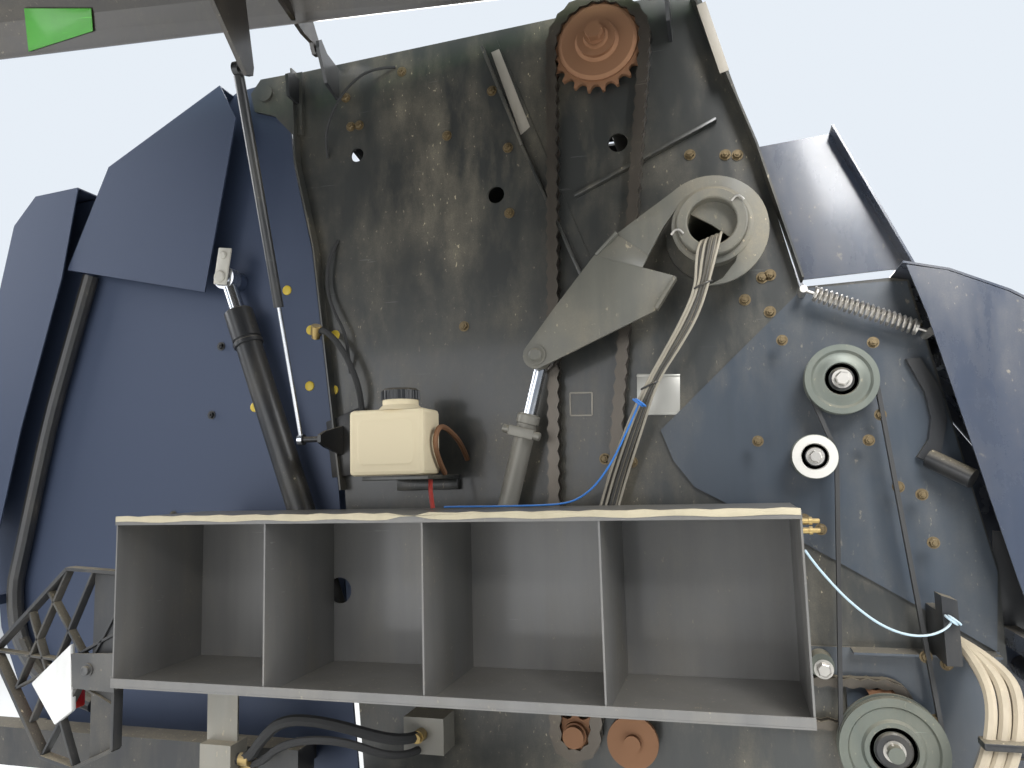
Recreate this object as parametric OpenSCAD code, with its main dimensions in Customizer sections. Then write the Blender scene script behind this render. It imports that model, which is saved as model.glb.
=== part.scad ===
// Variable chamber round baler, right side cover raised, standing on its wheels and parking jack.
// Inside the modules x runs forward from the tension arm's shaft line, y to the left from the
// centre plane and z up from the ground. in_row() shifts all of it so that the towing eye is the origin.

/* [Chamber] */
// Clear width of the bale chamber
chamber_w = 1224; // [1180:1:1240]
// Thickness of the chamber side plates
plate_t = 8; // [5:1:12]
// Height of the front end of the side plates' top edge above the ground
top_z = 2880; // [2860:1:2900]
// Height of the side plates' lower edge above the ground
plate_low_z = 760; // [740:1:790]
// Depth of the flange that stands outward round a side plate
flange_d = 34; // [20:1:36]
// Thickness of folded flanges and brackets
sheet_t = 5; // [3:1:8]

/* [Tailgate] */
// Forward place of the tailgate's hinge pin
gate_pivot_x = -1330; // [-1340:1:-1320]
// Height of the tailgate's hinge pin
gate_pivot_z = 2790; // [2780:1:2795]
// Radius of the tailgate's hinge pin
gate_pin_r = 25; // [18:1:30]
// Gap between the fixed side plate and the tailgate's plate
gate_gap = 20; // [12:1:30]
// Radius of the bent tube on the tailgate's side
gate_tube_r = 24; // [18:1:28]
// Distance of the raised side panels' outer face from the side plates
shroud_out = 70; // [40:1:75]

/* [Tension arm] */
// Height of the torque tube's axis
arm_z = 2187; // [2180:1:2195]
// Forward place of the torque tube's axis
arm_x = -16; // [-20:1:-12]
// Outer radius of the torque tube
tube_r = 83; // [76:1:86]
// Inner radius of the torque tube
tube_bore_r = 66; // [58:1:70]
// Outer radius of the arm round the tube
arm_r = 136; // [128:1:144]
// Thickness of an arm plate
arm_t = 36; // [24:1:40]
// Distance of an arm's outer face from the side plates
arm_out = 140; // [136:1:150]
// Radius of the pin in the arm's tip
arm_pin_r = 16; // [12:1:18]

/* [Cylinders] */
// Radius of a tension cylinder's barrel
arm_cyl_r = 26; // [22:1:27]
// Radius of a tension cylinder's rod
arm_rod_r = 17; // [12:1:19]
// Radius of a tailgate cylinder's barrel
gate_cyl_r = 38; // [34:1:39]
// Radius of a tailgate cylinder's rod
gate_rod_r = 22; // [16:1:26]
// Radius of a cover strut's barrel
strut_r = 13; // [10:1:14]
// Radius of a cover strut's rod
strut_rod_r = 6; // [4:1:7]

/* [Twine tray] */
// Rear end of the tray
tray_x0 = -1464; // [-1480:1:-1450]
// Front end of the tray
tray_x1 = 120; // [100:1:130]
// Height of the tray's floor underside
tray_z0 = 1115; // [1105:1:1125]
// Height of the tray's top edge
tray_z1 = 1515; // [1505:1:1520]
// Distance of the tray's open front from the side plates
tray_front_out = 430; // [420:1:435]
// Distance of the tray's back from the side plates
tray_back_out = 102; // [101:1:106]
// Thickness of the tray's sheet
tray_t = 4; // [3:1:6]

/* [Side covers] */
// Height of a cover's hinge line
hinge_z = 2855; // [2850:1:2860]
// Distance of a cover's hinge line from the side plates
hinge_out = 100; // [95:1:104]
// Angle by which the raised right cover stands open
open_angle = 60; // [50:1:62]
// Thickness of a cover's moulding
cover_t = 4; // [3:1:8]
// Distance of a closed cover's outer face from the side plates
cover_out = 470; // [466:1:475]
// Height of a closed cover's lower edge
cover_low_z = 1096; // [1080:1:1098]
// Radius of a cover's hinge bolts
hinge_r = 9; // [7:1:10]

/* [Chains and belts] */
// Pitch of the main roller chain
pitch = 38.1; // [38.1:0.1:38.1]
// Teeth of the upper sprocket
top_teeth = 21; // [20:1:21]
// Height of the upper sprocket's axis
top_sprocket_z = 2754; // [2745:1:2760]
// Forward place of the upper sprocket's axis
top_sprocket_x = -289; // [-294:1:-284]
// Distance of the main chain's middle from the side plates
chain_out = 26; // [25:1:28]

/* [Wheels] */
// Radius of a main tyre
tyre_r = 425; // [420:1:430]
// Width of a main tyre
tyre_w = 390; // [360:1:392]
// Distance of a main wheel's middle from the side plates
wheel_out = 380; // [380:1:390]
// Forward place of the axle
axle_x = -860; // [-880:1:-840]
// Radius of the wheel bearings' spindle
spindle_r = 38; // [30:1:44]
// Radius of a pickup gauge wheel
gauge_r = 190; // [180:1:195]

/* [Pickup] */
// Forward place of the pickup reel's axis
reel_x = 640; // [630:1:650]
// Height of the pickup reel's axis
reel_z = 430; // [420:1:440]
// Radius of the pickup reel to its tine tips
reel_r = 270; // [240:1:275]
// Half of the pickup's working width
reel_half = 960; // [940:1:965]
// Forward place of the pickup's lift pivot
lift_x = 300; // [290:1:310]
// Height of the pickup's lift pivot
lift_z = 640; // [630:1:650]

/* [Drawbar] */
// Forward place of the towing eye
eye_x = 2200; // [2150:1:2300]
// Height of the towing eye above the ground
eye_z = 480; // [460:1:500]
// Radius of the towing eye's bore
eye_r = 20; // [20:0.5:25]

/* [Hidden] */
$fn = 48;

half = chamber_w / 2;
out_y = half + plate_t;
// Distances from the centre plane
shroud_y = out_y + shroud_out;
arm_y = out_y + arm_out;
tray_front_y = out_y + tray_front_out;
tray_back_y = out_y + tray_back_out;
hinge_y = out_y + hinge_out;
cover_y = out_y + cover_out;
chain_y = out_y + chain_out;
wheel_y = out_y + wheel_out;
// Running clearance of pins in their bores and of pieces that slide
run_gap = 0.05;
// Gap that keeps a piece of the same body off its seat
seat_gap = 0.3;

// Rear edge of the fixed side plate, [x, z] from the top down
plate_rear = [[-1236, 2850], [-1221, 2553], [-1158, 2279], [-1070, 1565], [-1040, 1115],
    [-1010, plate_low_z]];
// Front edge of the fixed side plate, [x, z] from the bottom up
plate_front = [[430, plate_low_z], [560, 1150], [560, 1354], [430, 2035], [390, 2044],
    [184, 2040], [105, 2400],
    [-20, top_z]];
plate_outline = concat(plate_rear, plate_front);

// Front edge of the tailgate's plate and the rest of its outline, [x, z]
gate_front = [for (i = [5:-1:1]) [plate_rear[i][0] - gate_gap, max(plate_rear[i][1], 800)]];
gate_outline = concat(gate_front, [[-1262, 2740], [-1270, 2815], [-1300, 2838], [-1444, 2825],
    [-1870, 2606], [-1980, 2540], [-2150, 2528], [-2222, 2450], [-2345, 1890], [-2362, 1500],
    [-2300, 1150], [-2180, 900], [-2060, 800]]);

// Pins of the closed linkages, [x, z]
arm_tip = [-462, 1893];
arm_base = [-676, 1120];
gate_top = [-1431, 2203];
gate_base = [-1063, 1200];
// Distance of the cylinders from the centre plane
arm_cyl_y = out_y + 70;
gate_cyl_y = out_y + 54;

// Cover strut's eye on the closed cover, [y, z] from the hinge line, and its lower stud, [y, z]
strut_eye = [36, -402];
strut_foot = [-out_y - 125, 1706];
strut_x = -1135;
cover_arm_t = 12;
// Rear faces of a cover's arms
cover_arm_x = [-1116, -120];

// Rollers of the fixed front, [x, z, r], counterclockwise
front_rollers = [[top_sprocket_x, top_sprocket_z, 50], [-1110, 2746, 50], [230, 1000, 60], [360, 1600, 50]];
// Rollers of the tailgate, [x, z, r], counterclockwise
gate_rollers_at = [[-1450, 2735, 50], [-2120, 2395, 50], [-2250, 1500, 50], [-2030, 960, 55]];
belt_t = 8;
belt_count = 5;
belt_w = 205;
belt_gap = 32;

lower_sprocket = [-416, 950];
// Thickness of the flat ribs and of the pads under brackets that reach over the tailgate
rib_t = 3.5;
pad_t = 5;
// Radius of the pins of the tailgate cylinders
cyl_pin_r = 20;
axle_z = tyre_r;
// Feed rotor behind the pickup: its axis and the radius of its tines
rotor_x = 190;
rotor_z = 560;
rotor_r = 164;
// Gauge wheel's axis on the pickup
gauge_x = reel_x - 60;
gauge_z = 62 + gauge_r;
// Windguard's pivot on the pickup
guard_x = reel_x + 60;
guard_z = reel_z + 200;
top_r = pitch / (2 * sin(180 / top_teeth));

// Moves everything from the machine's datum to the towing eye
module in_row() translate([-eye_x, 0, -eye_z]) children();

// Both sides of the machine, drawn for the right one
module both() {
    children();
    mirror([0, 1, 0]) children();
}

// Plate of thickness t from an [x, z] outline, its right face at y0
module xz_plate(pts, y0, t) translate([0, y0 + t, 0]) rotate([90, 0, 0]) linear_extrude(t) polygon(pts);

// Plate of thickness t from a [y, z] outline, its rear face at x0
module yz_plate(pts, x0, t) translate([x0, 0, 0]) rotate([90, 0, 90]) linear_extrude(t) polygon(pts);

// Round bar along y
module y_rod(x, z, y0, y1, r) translate([x, y0, z]) rotate([-90, 0, 0]) cylinder(h = y1 - y0, r = r);

// Round bar along x
module x_rod(y, z, x0, x1, r) translate([x0, y, z]) rotate([0, 90, 0]) cylinder(h = x1 - x0, r = r);

// Round bar between two points
module rod_between(p, q, r) {
    d = q - p;
    translate(p)
        rotate([0, acos(d[2] / norm(d)), atan2(d[1], d[0])])
            cylinder(h = norm(d), r = r);
}

// Box with its lowest corner at p
module box(p, s) translate(p) cube(s);

// Strip of width w to the left of a path, as a closed outline
function path_normal(p, i) = let (a = p[max(i - 1, 0)], b = p[min(i + 1, len(p) - 1)], d = b - a)
    [-d[1], d[0]] / norm(d);
function strip(p, w) = concat(p, [for (i = [len(p) - 1:-1:0]) p[i] + w * path_normal(p, i)]);

// Straight bar of width w between two [x, z] points, with flat ends
function bar(p, q, w) = let (d = (q - p) / norm(q - p), n = [-d[1], d[0]] * w / 2)
    [p - n, q - n, q + n, p + n];

// Closed outline round a ring of circles c = [x, z, r], each grown by g, counterclockwise. Its sides touch
// the circles. A negative radius is a pulley outside the loop, which the belt's back runs over.
function tangent_angle(a, b) = atan2(b[1] - a[1], b[0] - a[0])
    - acos((a[2] - b[2]) / norm([b[0] - a[0], b[1] - a[1]]));
function wrap(a) = a < 0 ? wrap(a + 360) : a >= 360 ? wrap(a - 360) : a;
function loop_outline(c, g, steps = 12) = [for (i = [0:len(c) - 1])
    let (from = tangent_angle(c[(i + len(c) - 1) % len(c)], c[i]),
        turn = wrap(tangent_angle(c[i], c[(i + 1) % len(c)]) - from) - (c[i][2] < 0 ? 360 : 0))
    for (k = [0:steps - 1]) let (a = from + turn * (k + 0.5) / steps, r = (c[i][2] + g) / cos(turn / steps / 2))
        [c[i][0] + r * cos(a), c[i][1] + r * sin(a)]];

// Band of thickness t that runs round a ring of circles, between y0 and y0 + w
module band(c, t, y0, w, steps = 12) translate([0, y0 + w, 0]) rotate([90, 0, 0]) linear_extrude(w)
    difference() {
        polygon(loop_outline(c, t, steps));
        polygon(loop_outline(c, 0, steps));
    }

// Tube of radius r swept along points p, with n sides
function unit(v) = v / norm(v);
function tangent_at(p, i) = unit(p[min(i + 1, len(p) - 1)] - p[max(i - 1, 0)]);
function side_at(t) = unit(cross(t, abs(t[1]) < 0.9 ? [0, 1, 0] : [1, 0, 0]));
module swept_tube(p, r, n = 8) {
    rings = [for (i = [0:len(p) - 1]) let (t = tangent_at(p, i), u = side_at(t), v = cross(t, u))
        for (k = [0:n - 1]) p[i] + r * (cos(360 * k / n) * u + sin(360 * k / n) * v)];
    walls = [for (i = [0:len(p) - 2]) for (k = [0:n - 1])
        [(i + 1) * n + k, (i + 1) * n + (k + 1) % n, i * n + (k + 1) % n, i * n + k]];
    start = [for (k = [0:n - 1]) k];
    end = [for (k = [n - 1:-1:0]) (len(p) - 1) * n + k];
    polyhedron(points = rings, faces = concat([start], walls, [end]), convexity = 6);
}

// Smooth route through chosen points, m steps between neighbours
function spline_at(a, b, c, d, t) = 0.5 * ((2 * b) + (c - a) * t + (2 * a - 5 * b + 4 * c - d) * t * t
    + (3 * b - a - 3 * c + d) * t * t * t);
function route(p, m = 4) = concat([for (i = [0:len(p) - 2]) for (k = [0:m - 1])
    spline_at(p[max(i - 1, 0)], p[i], p[i + 1], p[min(i + 2, len(p) - 1)], k / m)], [p[len(p) - 1]]);

// Side plates of the fixed chamber

module plate_holes() {
    y_rod(arm_x, arm_z, -out_y - 1, -half + 1, tube_r + 12);
    y_rod(-598, 2378, -out_y - 1, -half + 1, 24);
    y_rod(-1028, 2557, -out_y - 1, -half + 1, 21);
    y_rod(-250, 2480, -out_y - 1, -half + 1, 26);
}

module side_plate_right() color([0.1, 0.12, 0.16]) in_row() difference() {
    xz_plate(plate_outline, -out_y, plate_t);
    plate_holes();
}

module side_plate_left() color([0.1, 0.12, 0.16]) in_row() mirror([0, 1, 0]) difference() {
    xz_plate(plate_outline, -out_y, plate_t);
    plate_holes();
}

// Bearing housing with a bore, on the outside of a side plate
module housing(x, z, r, bore, d) difference() {
    y_rod(x, z, -out_y - d, -out_y, r);
    y_rod(x, z, -out_y - d - 1, -out_y + 1, bore);
}

module side_ribs() color([0.12, 0.14, 0.18]) in_row() both() {
    xz_plate(strip([for (i = [0:3]) plate_rear[i]], sheet_t), -out_y - flange_d, flange_d);
    xz_plate(bar([-604, 2830], [-287, 1968], 44), -out_y - rib_t, rib_t);
    xz_plate(strip([[-40, top_z - 30], [100, 2402], [186, 2050]], sheet_t), -out_y - 60, 60);
    housing(arm_x, arm_z, 118, tube_r + run_gap, 30);
    // Ear that carries the tailgate's hinge pin, on a pad that keeps it off the tailgate
    xz_plate([[-1205, 2842], [-1350, 2842], [-1385, 2800], [-1370, 2740], [-1300, 2715], [-1232, 2640],
        [-1205, 2640]], -out_y - pad_t - 12, 12);
    xz_plate([[-1205, 2842], [-1228, 2842], [-1222, 2640], [-1205, 2640]], -out_y - pad_t, pad_t);
    y_rod(gate_pivot_x, gate_pivot_z, -out_y - 26, -half + 20, gate_pin_r);
    // Foot of the tailgate cylinder and of the tension cylinder
    xz_plate([[-960, 1260], [-1070, 1250], [-1106, 1200], [-1070, 1150], [-960, 1140]], -out_y - pad_t - 8, 8);
    xz_plate([[-960, 1260], [-1036, 1252], [-1030, 1148], [-960, 1140]], -out_y - pad_t, pad_t);
    y_rod(gate_base[0], gate_base[1], -gate_cyl_y - 24, -out_y - pad_t, cyl_pin_r);
    y_rod(arm_base[0], arm_base[1], -arm_cyl_y - 22, -out_y, arm_pin_r);
    y_rod(arm_base[0], arm_base[1], -arm_cyl_y + arm_cyl_r + 6, -out_y, 34);
}

module cross_beams() color([0.1, 0.12, 0.16]) in_row() {
    for (b = [[-1230, 2815, 60, 30], [-80, 2790, 60, 60], [330, 2000, 60, 36], [500, 1180, 50, 60],
        [-1000, 765, 50, 30], [200, 780, 120, 50]])
        box([b[0], -half, b[1]], [b[2], chamber_w, b[3]]);
    xz_plate(strip([[10, 2780], [100, 2440], [172, 2080]], -sheet_t), -half, chamber_w);
}

module drive_plate() color([0.1, 0.13, 0.2]) in_row() {
    xz_plate([[-173, 1699], [-144, 1619], [-96, 1553], [157, 1412], [400, 1265], [540, 1176], [556, 1350],
        [424, 2030], [380, 2034], [190, 2034]], -out_y - 8, 8);
    xz_plate([[238, 1171], [536, 1171], [536, 1176], [238, 1176]], -out_y - 60, 60);
    xz_plate([[130, 1176], [130, 1108], [222, 1100], [222, 860], [300, 800], [420, 800], [545, 1120],
        [545, 1176]], -out_y - 8, 8);
}

module corner_guards() color([0.14, 0.18, 0.26]) in_row() both() {
    xz_plate([[106, 2404], [280, 2414], [431, 2054], [388, 2058], [191.5, 2052]], -out_y - 26, sheet_t);
    xz_plate(bar([277, 2414], [427.7, 2054], sheet_t), -out_y - 80, 60);
}

// Full width front hood: a bent sheet with a cheek at either end
hood_profile = [[394, 2052], [486, 2026], [600, 1968], [780, 1840], [900, 1660], [960, 1440], [975, 1180]];
hood_y = out_y + 130;
module front_hood() color([0.1, 0.11, 0.14]) in_row() {
    xz_plate(strip(hood_profile, -sheet_t), -hood_y, 2 * hood_y);
    both() xz_plate(concat([[400, 2042], [434, 1924], [481, 1710], [518, 1537], [558, 1354], [600, 1180]],
        [for (i = [6:-1:1]) hood_profile[i] + [-sheet_t, -sheet_t]]), -hood_y, sheet_t);
    box([560, -hood_y + sheet_t, 1190], [30, 2 * (hood_y - sheet_t), 40]);
    box([600, -hood_y + sheet_t, 1880], [30, 2 * (hood_y - sheet_t), 40]);
}

// Axle, its carriers and the spindles

module axle() color([0.1, 0.12, 0.16]) in_row() {
    box([axle_x - 60, -out_y + 20, axle_z - 60], [120, 2 * out_y - 40, 120]);
    both() {
        xz_plate([[axle_x - 110, axle_z - 75], [axle_x + 110, axle_z - 75], [axle_x + 420, plate_low_z],
            [axle_x - 150, plate_low_z]], -out_y, 20);
        box([-1010, -out_y, plate_low_z - 60], [1390, 60, 60]);
        y_rod(axle_x, axle_z, -wheel_y + 63, -out_y, 60);
        y_rod(axle_x, axle_z, -wheel_y - 70, -wheel_y + 63, spindle_r);
        difference() {
            xz_plate([[250, 700], [350, 700], [340, 600], [260, 600]], -out_y + 20, 20);
            y_rod(lift_x, lift_z, -out_y, -out_y + 60, 24 + run_gap);
        }
        // Cheek of the feed rotor's housing
        difference() {
            xz_plate([[20, 700], [235, 700], [300, 600], [310, 420], [190, 370], [60, 400], [10, 540]], -560, 8);
            y_rod(rotor_x, rotor_z, -570, -540, 30 + run_gap);
        }
    }
}

// Drawbar with the towing eye and the jack's sleeve

// Upper edge of the drawbar's neck, [x, z]
neck_rear = [1140, 826];
neck_front = [2000, 590];
function neck_top(x) = neck_front[1] + (neck_rear[1] - neck_front[1]) * (neck_front[0] - x)
    / (neck_front[0] - neck_rear[0]);
// Beams of the drawbar's V: ends and sideways lean
beam_x = [380 + seat_gap, neck_rear[0] - 40 - seat_gap];
beam_lean = 0.244;
module drawbar() color([0.1, 0.12, 0.16]) in_row() {
    both() translate([0, 0, 720]) linear_extrude(110)
        polygon([[beam_x[0], -330], [410, -330], [beam_x[1], -330 + (beam_x[1] - 410) * beam_lean],
            [beam_x[1], -240 + (beam_x[1] - beam_x[0]) * beam_lean], [beam_x[0], -240]]);
    difference() {
        union() {
            hull() {
                box([neck_rear[0] - 40, -130, neck_rear[1] - 102], [40, 260, 102]);
                box([neck_front[0] - 40, -60, neck_front[1] - 90], [40, 120, 90]);
            }
            box([1990, -45, eye_z - 22], [130, 90, 74]);
            translate([eye_x, 0, eye_z - 22]) cylinder(h = 44, r = 58);
            box([2110, -40, eye_z - 22], [60, 80, 44]);
            box([1500, 60, 575], [90, 70, 70]);
            translate([1545, 175, 500]) cylinder(h = 300, r = 46);
        }
        translate([eye_x, 0, eye_z - 60]) cylinder(h = 120, r = eye_r);
        translate([1545, 175, 400]) cylinder(h = 600, r = 38 + run_gap);
    }
    box([330, -559.7, 700], [50, 1119.4, 120]);
}

module parking_jack() color([0.6, 0.62, 0.63]) in_row() {
    translate([1545, 175, 12]) cylinder(h = 840, r = 38);
    translate([1545, 175, 0]) cylinder(h = 12, r = 90);
    translate([1545, 175, 850]) cylinder(h = 14, r = 46);
    translate([1545, 175, 864]) cylinder(h = 30, r = 10);
    translate([1545, 175, 890]) rotate([0, 0, 35]) box([-6, -6, 0], [120, 12, 8]);
}

module gearbox() color([0.5, 0.1, 0.08]) in_row() {
    box([620, -120, 850], [240, 240, 260]);
    box([640, -250, 830.3], [200, 500, 20]);
    x_rod(0, 1010, 860, 960, 30);
    y_rod(740, 1030, -700, -120, 32);
    y_rod(740, 1030, -730, -640, 60);
}

module pto_shaft() color([0.12, 0.12, 0.12]) in_row() {
    rod_between([972, 0, 1004.7], [2030, 0, 760], 42);
    rod_between([1985, 0, 770.4], [2090, 0, 746], 60);
    xz_plate([[1960, neck_top(1960) + seat_gap], [1972, neck_top(1972) + seat_gap], [1972, 715], [1960, 715]],
        -8, 16);
    box([1950, -70, 715], [32, 140, 12.4]);
}

// Twine tray of four compartments, drawn for the right side. Its sheets seat on one another.

// Depth of the lips along the open front, below and above
tray_lip = [22, 16];
module tray_solid() {
    w = tray_x1 - tray_x0;
    d = tray_front_y - tray_back_y;
    // Room between the floor and the roof, and the step that a sheet keeps off a corner
    step = tray_t + seat_gap;
    room = tray_z1 - tray_z0 - 2 * step;
    // Forward places of the partitions
    parts_x = [-1050, -660, -272];
    for (z = [tray_z0, tray_z1 - tray_t]) box([tray_x0, -tray_front_y, z], [w, d, tray_t]);
    difference() {
        box([tray_x0, -tray_back_y - tray_t, tray_z0 + step], [w, tray_t, room]);
        y_rod(-1029, 1301, -tray_back_y - 10, -tray_back_y + 10, 34);
    }
    for (x = concat([tray_x0], parts_x, [tray_x1 - tray_t]))
        box([x, -tray_front_y + step, tray_z0 + step], [tray_t, d - 2 * step, room]);
    box([tray_x0, -tray_front_y, tray_z0 + step], [w, tray_t, tray_lip[0] - step]);
    box([tray_x0, -tray_front_y, tray_z1 - tray_lip[1]], [w, tray_t, tray_lip[1] - step]);
    // Tab at the rear and brackets that carry the tray
    box([-1599, -tray_front_y + 20, 1106], [tray_x0 - seat_gap + 1599, tray_t, 80]);
    for (x = [-960, -820, 60])
        box([x, -tray_back_y + seat_gap, 1275], [40, tray_back_y - seat_gap - out_y, 60]);
}

module tray_right() color([0.1, 0.11, 0.14]) in_row() tray_solid();

module tray_left() color([0.1, 0.11, 0.14]) in_row() mirror([0, 1, 0]) tray_solid();

module lamp_carriers() color([0.75, 0.75, 0.73]) in_row() both() {
    xz_plate([[-1870, 1180], [-1640, 1389], [-1480, 1380], [-1480, 960], [-1600, 909], [-1700, 930]], -1020, 30);
    box([-1560, -990, 1130], [90, 60, 60]);
    box([-1500, -990, 1100], [35.7, 260, 60]);
}

module oil_bottle() color([0.85, 0.78, 0.62]) in_row() {
    box([-932, -860, 1602], [231, 110, 175]);
    translate([-816, -805, 1777]) cylinder(h = 14, r = 46);
    translate([-816, -805, 1791]) cylinder(h = 32, r = 52);
    box([-900, -850, 1590], [180, 230, 12]);
    box([-900, -640, 1560], [180, 20, 31]);
}

// Chain wheels, chains and belts

// Outline of a chain wheel of pitch radius r, columns: share of a tooth's angle, distance from the
// pitch circle
tooth_shape = [[-0.36, -11], [-0.2, -6], [-0.07, 8], [0.07, 8], [0.2, -6], [0.36, -11]];
function wheel_outline(r, teeth) = [for (i = [0:teeth - 1]) for (q = tooth_shape)
    let (a = 360 * (i + q[0]) / teeth) (r + q[1]) * [cos(a), sin(a)]];
module sprocket_disc(x, z, r, teeth, y, t) translate([x, -y, z]) rotate([90, 0, 0])
    linear_extrude(t, center = true) polygon(wheel_outline(r, teeth));

// Wheels of the lower chain, columns: x, z, pitch radius, thickness of the plate behind
small_wheels = [[301, 1054, 48, 8], [40, 1054, 48, 0]];
low_teeth = 8;
low_r = pitch / (2 * sin(180 / low_teeth));
module sprockets() color([0.42, 0.22, 0.13]) in_row() {
    sprocket_disc(top_sprocket_x, top_sprocket_z, top_r, top_teeth, chain_y, 14);
    // Dished face, stepped hub and shaft nut of the upper sprocket
    translate([top_sprocket_x, -chain_y, top_sprocket_z]) rotate([90, 0, 0]) rotate_extrude()
        polygon([[0, 6], [top_r - 20, 6], [top_r - 20, 14], [top_r - 30, 20], [60, 20], [52, 28], [52, 40],
            [34, 40], [30, 48], [30, 58], [0, 58]]);
    translate([top_sprocket_x, -chain_y - 57, top_sprocket_z]) rotate([90, 0, 0]) cylinder(h = 22, r = 24, $fn = 6);
    y_rod(top_sprocket_x, top_sprocket_z, -chain_y + 7, -out_y, 40);
    sprocket_disc(lower_sprocket[0], lower_sprocket[1], low_r, low_teeth, chain_y, 14);
    y_rod(lower_sprocket[0], lower_sprocket[1], -chain_y - 40, -out_y, 26);
    y_rod(lower_sprocket[0], lower_sprocket[1], -chain_y - 22, -chain_y - 6, 30);
    // Rusty adjuster disc beside the lower sprocket
    y_rod(-272, 945, -chain_y - 30, -chain_y - 16, 62);
    y_rod(-272, 945, -chain_y - 16, -out_y, 30);
    y_rod(-272, 945, -chain_y - 44, -chain_y - 30, 20);
    for (c = small_wheels) {
        sprocket_disc(c[0], c[1], c[2], 8, out_y + 24, 10);
        y_rod(c[0], c[1], -out_y - 40, -out_y - c[3], 24);
    }
}

// Point on a chain's pitch line at the distance s from the foot of its front run, and the way in which
// the chain runs there, as [x, z, angle]; a is the upper wheel [x, z, r], b the lower one
function about(c, r, a) = [c[0] + r * cos(a), c[1] + r * sin(a), a + 90];
function chain_length(a, b) = let (dist = norm([a[0] - b[0], a[1] - b[1]]), lean = asin((a[2] - b[2]) / dist))
    2 * dist * cos(lean) + PI * (a[2] * (180 + 2 * lean) + b[2] * (180 - 2 * lean)) / 180;
function chain_at(s, a, b) = let (dist = norm([a[0] - b[0], a[1] - b[1]]), lean = asin((a[2] - b[2]) / dist),
    run = dist * cos(lean), head = atan2(a[1] - b[1], a[0] - b[0]), right = head - 90 - lean,
    left = head + 90 + lean, top = a[2] * (180 + 2 * lean) * PI / 180, d1 = s - run, d2 = d1 - top, d3 = d2 - run)
    s < run ? let (q = about(b, b[2], right)) [q[0] + s * cos(right + 90), q[1] + s * sin(right + 90), right + 90]
    : d1 < top ? about(a, a[2], right + d1 / a[2] * 180 / PI)
    : d2 < run ? let (q = about(a, a[2], left)) [q[0] + d2 * cos(left + 90), q[1] + d2 * sin(left + 90), left + 90]
    : about(b, b[2], left + d3 / b[2] * 180 / PI);

// Closed outline of a chain's link plates: wide at each pin, narrow between two pins
function link_edge(a, b, links, wide, waist) = let (step = chain_length(a, b) / links)
    [for (i = [0:links - 1]) for (h = [0, 1])
        let (q = chain_at((i + h / 2) * step, a, b), w = h == 0 ? wide : waist)
        [q[0] + w * cos(q[2] - 90), q[1] + w * sin(q[2] - 90)]];
module link_band(a, b, links, wide, waist, y0, w) translate([0, y0 + w, 0]) rotate([90, 0, 0])
    linear_extrude(w) difference() {
        polygon(link_edge(a, b, links, wide, waist));
        polygon(link_edge(a, b, links, -wide, -waist));
    }

main_upper = [top_sprocket_x, top_sprocket_z, top_r];
main_lower = [lower_sprocket[0], lower_sprocket[1], low_r];
main_links = round(chain_length(main_upper, main_lower) / pitch);
module main_chain() color([0.3, 0.25, 0.2]) in_row() {
    link_band(main_upper, main_lower, main_links, 17, 11, -chain_y - 20, 10);
    link_band(main_upper, main_lower, main_links, 17, 11, -chain_y + 10, 8);
    band([for (c = [main_upper, main_lower]) [c[0], c[1], c[2] + 8.3]], 6, -chain_y - 10, 20, 16);
}

lower_links = 24;
module lower_chain() color([0.25, 0.18, 0.13]) in_row() {
    a = small_wheels[0];
    b = small_wheels[1];
    link_band(a, b, lower_links, 12, 7, -out_y - 38, 8);
    link_band(a, b, lower_links, 12, 7, -out_y - 13, 4.5);
    band([for (c = [a, b]) [c[0], c[1], c[2] + 8.3]], 3, -out_y - 30, 17, 12);
}

// Belt pulley with a groove of radius g between flanges of radius f
module pulley(x, z, g, f, y, w) {
    y_rod(x, z, -y - w / 2, -y + w / 2, g);
    for (e = [-w / 2, w / 2 - 6]) y_rod(x, z, -y + e, -y + e + 6, f);
}

belt_y = out_y + 68;
belt_h = 9;
module pulleys() color([0.6, 0.6, 0.55]) in_row() {
    pulley(253, 1796, 70, 82, belt_y, 30);
    y_rod(253, 1796, -belt_y - 30, -out_y - 8, 16);
    pulley(183, 1619, 44, 52, belt_y, 30);
    y_rod(183, 1619, -belt_y - 22, -out_y - 8, 14);
    pulley(301, 976, 100, 113, belt_y, 30);
    y_rod(301, 976, -belt_y - 50, -out_y - 8, 17);
    y_rod(169, 1144, -680, -out_y - 8, 27);
}

module cogged_belts() color([0.12, 0.12, 0.12]) in_row()
    band([[253, 1796, 70 + seat_gap], [183, 1619, -44 - belt_h - seat_gap], [301, 976, 100 + seat_gap]],
        belt_h, -belt_y - 8, 16);

// Coil of wire round the line from p to q, with a closed hook's rod at either end
module coil(p, q, coil_r, wire_r, turns, steps, n) {
    axis = unit(q - p);
    u = unit(cross(axis, [0, 1, 0]));
    v = cross(axis, u);
    m = turns * steps;
    rings = [for (i = [0:m]) let (a = 360 * i / steps, out = cos(a) * u + sin(a) * v)
        for (k = [0:n - 1]) p + (q - p) * i / m + (coil_r + wire_r * cos(360 * k / n)) * out
            + wire_r * sin(360 * k / n) * axis];
    walls = [for (i = [0:m - 1]) for (k = [0:n - 1])
        [i * n + k, i * n + (k + 1) % n, (i + 1) * n + (k + 1) % n, (i + 1) * n + k]];
    polyhedron(points = rings, faces = concat([[for (k = [n - 1:-1:0]) k]], walls,
        [[for (k = [0:n - 1]) m * n + k]]), convexity = 20);
}

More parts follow.
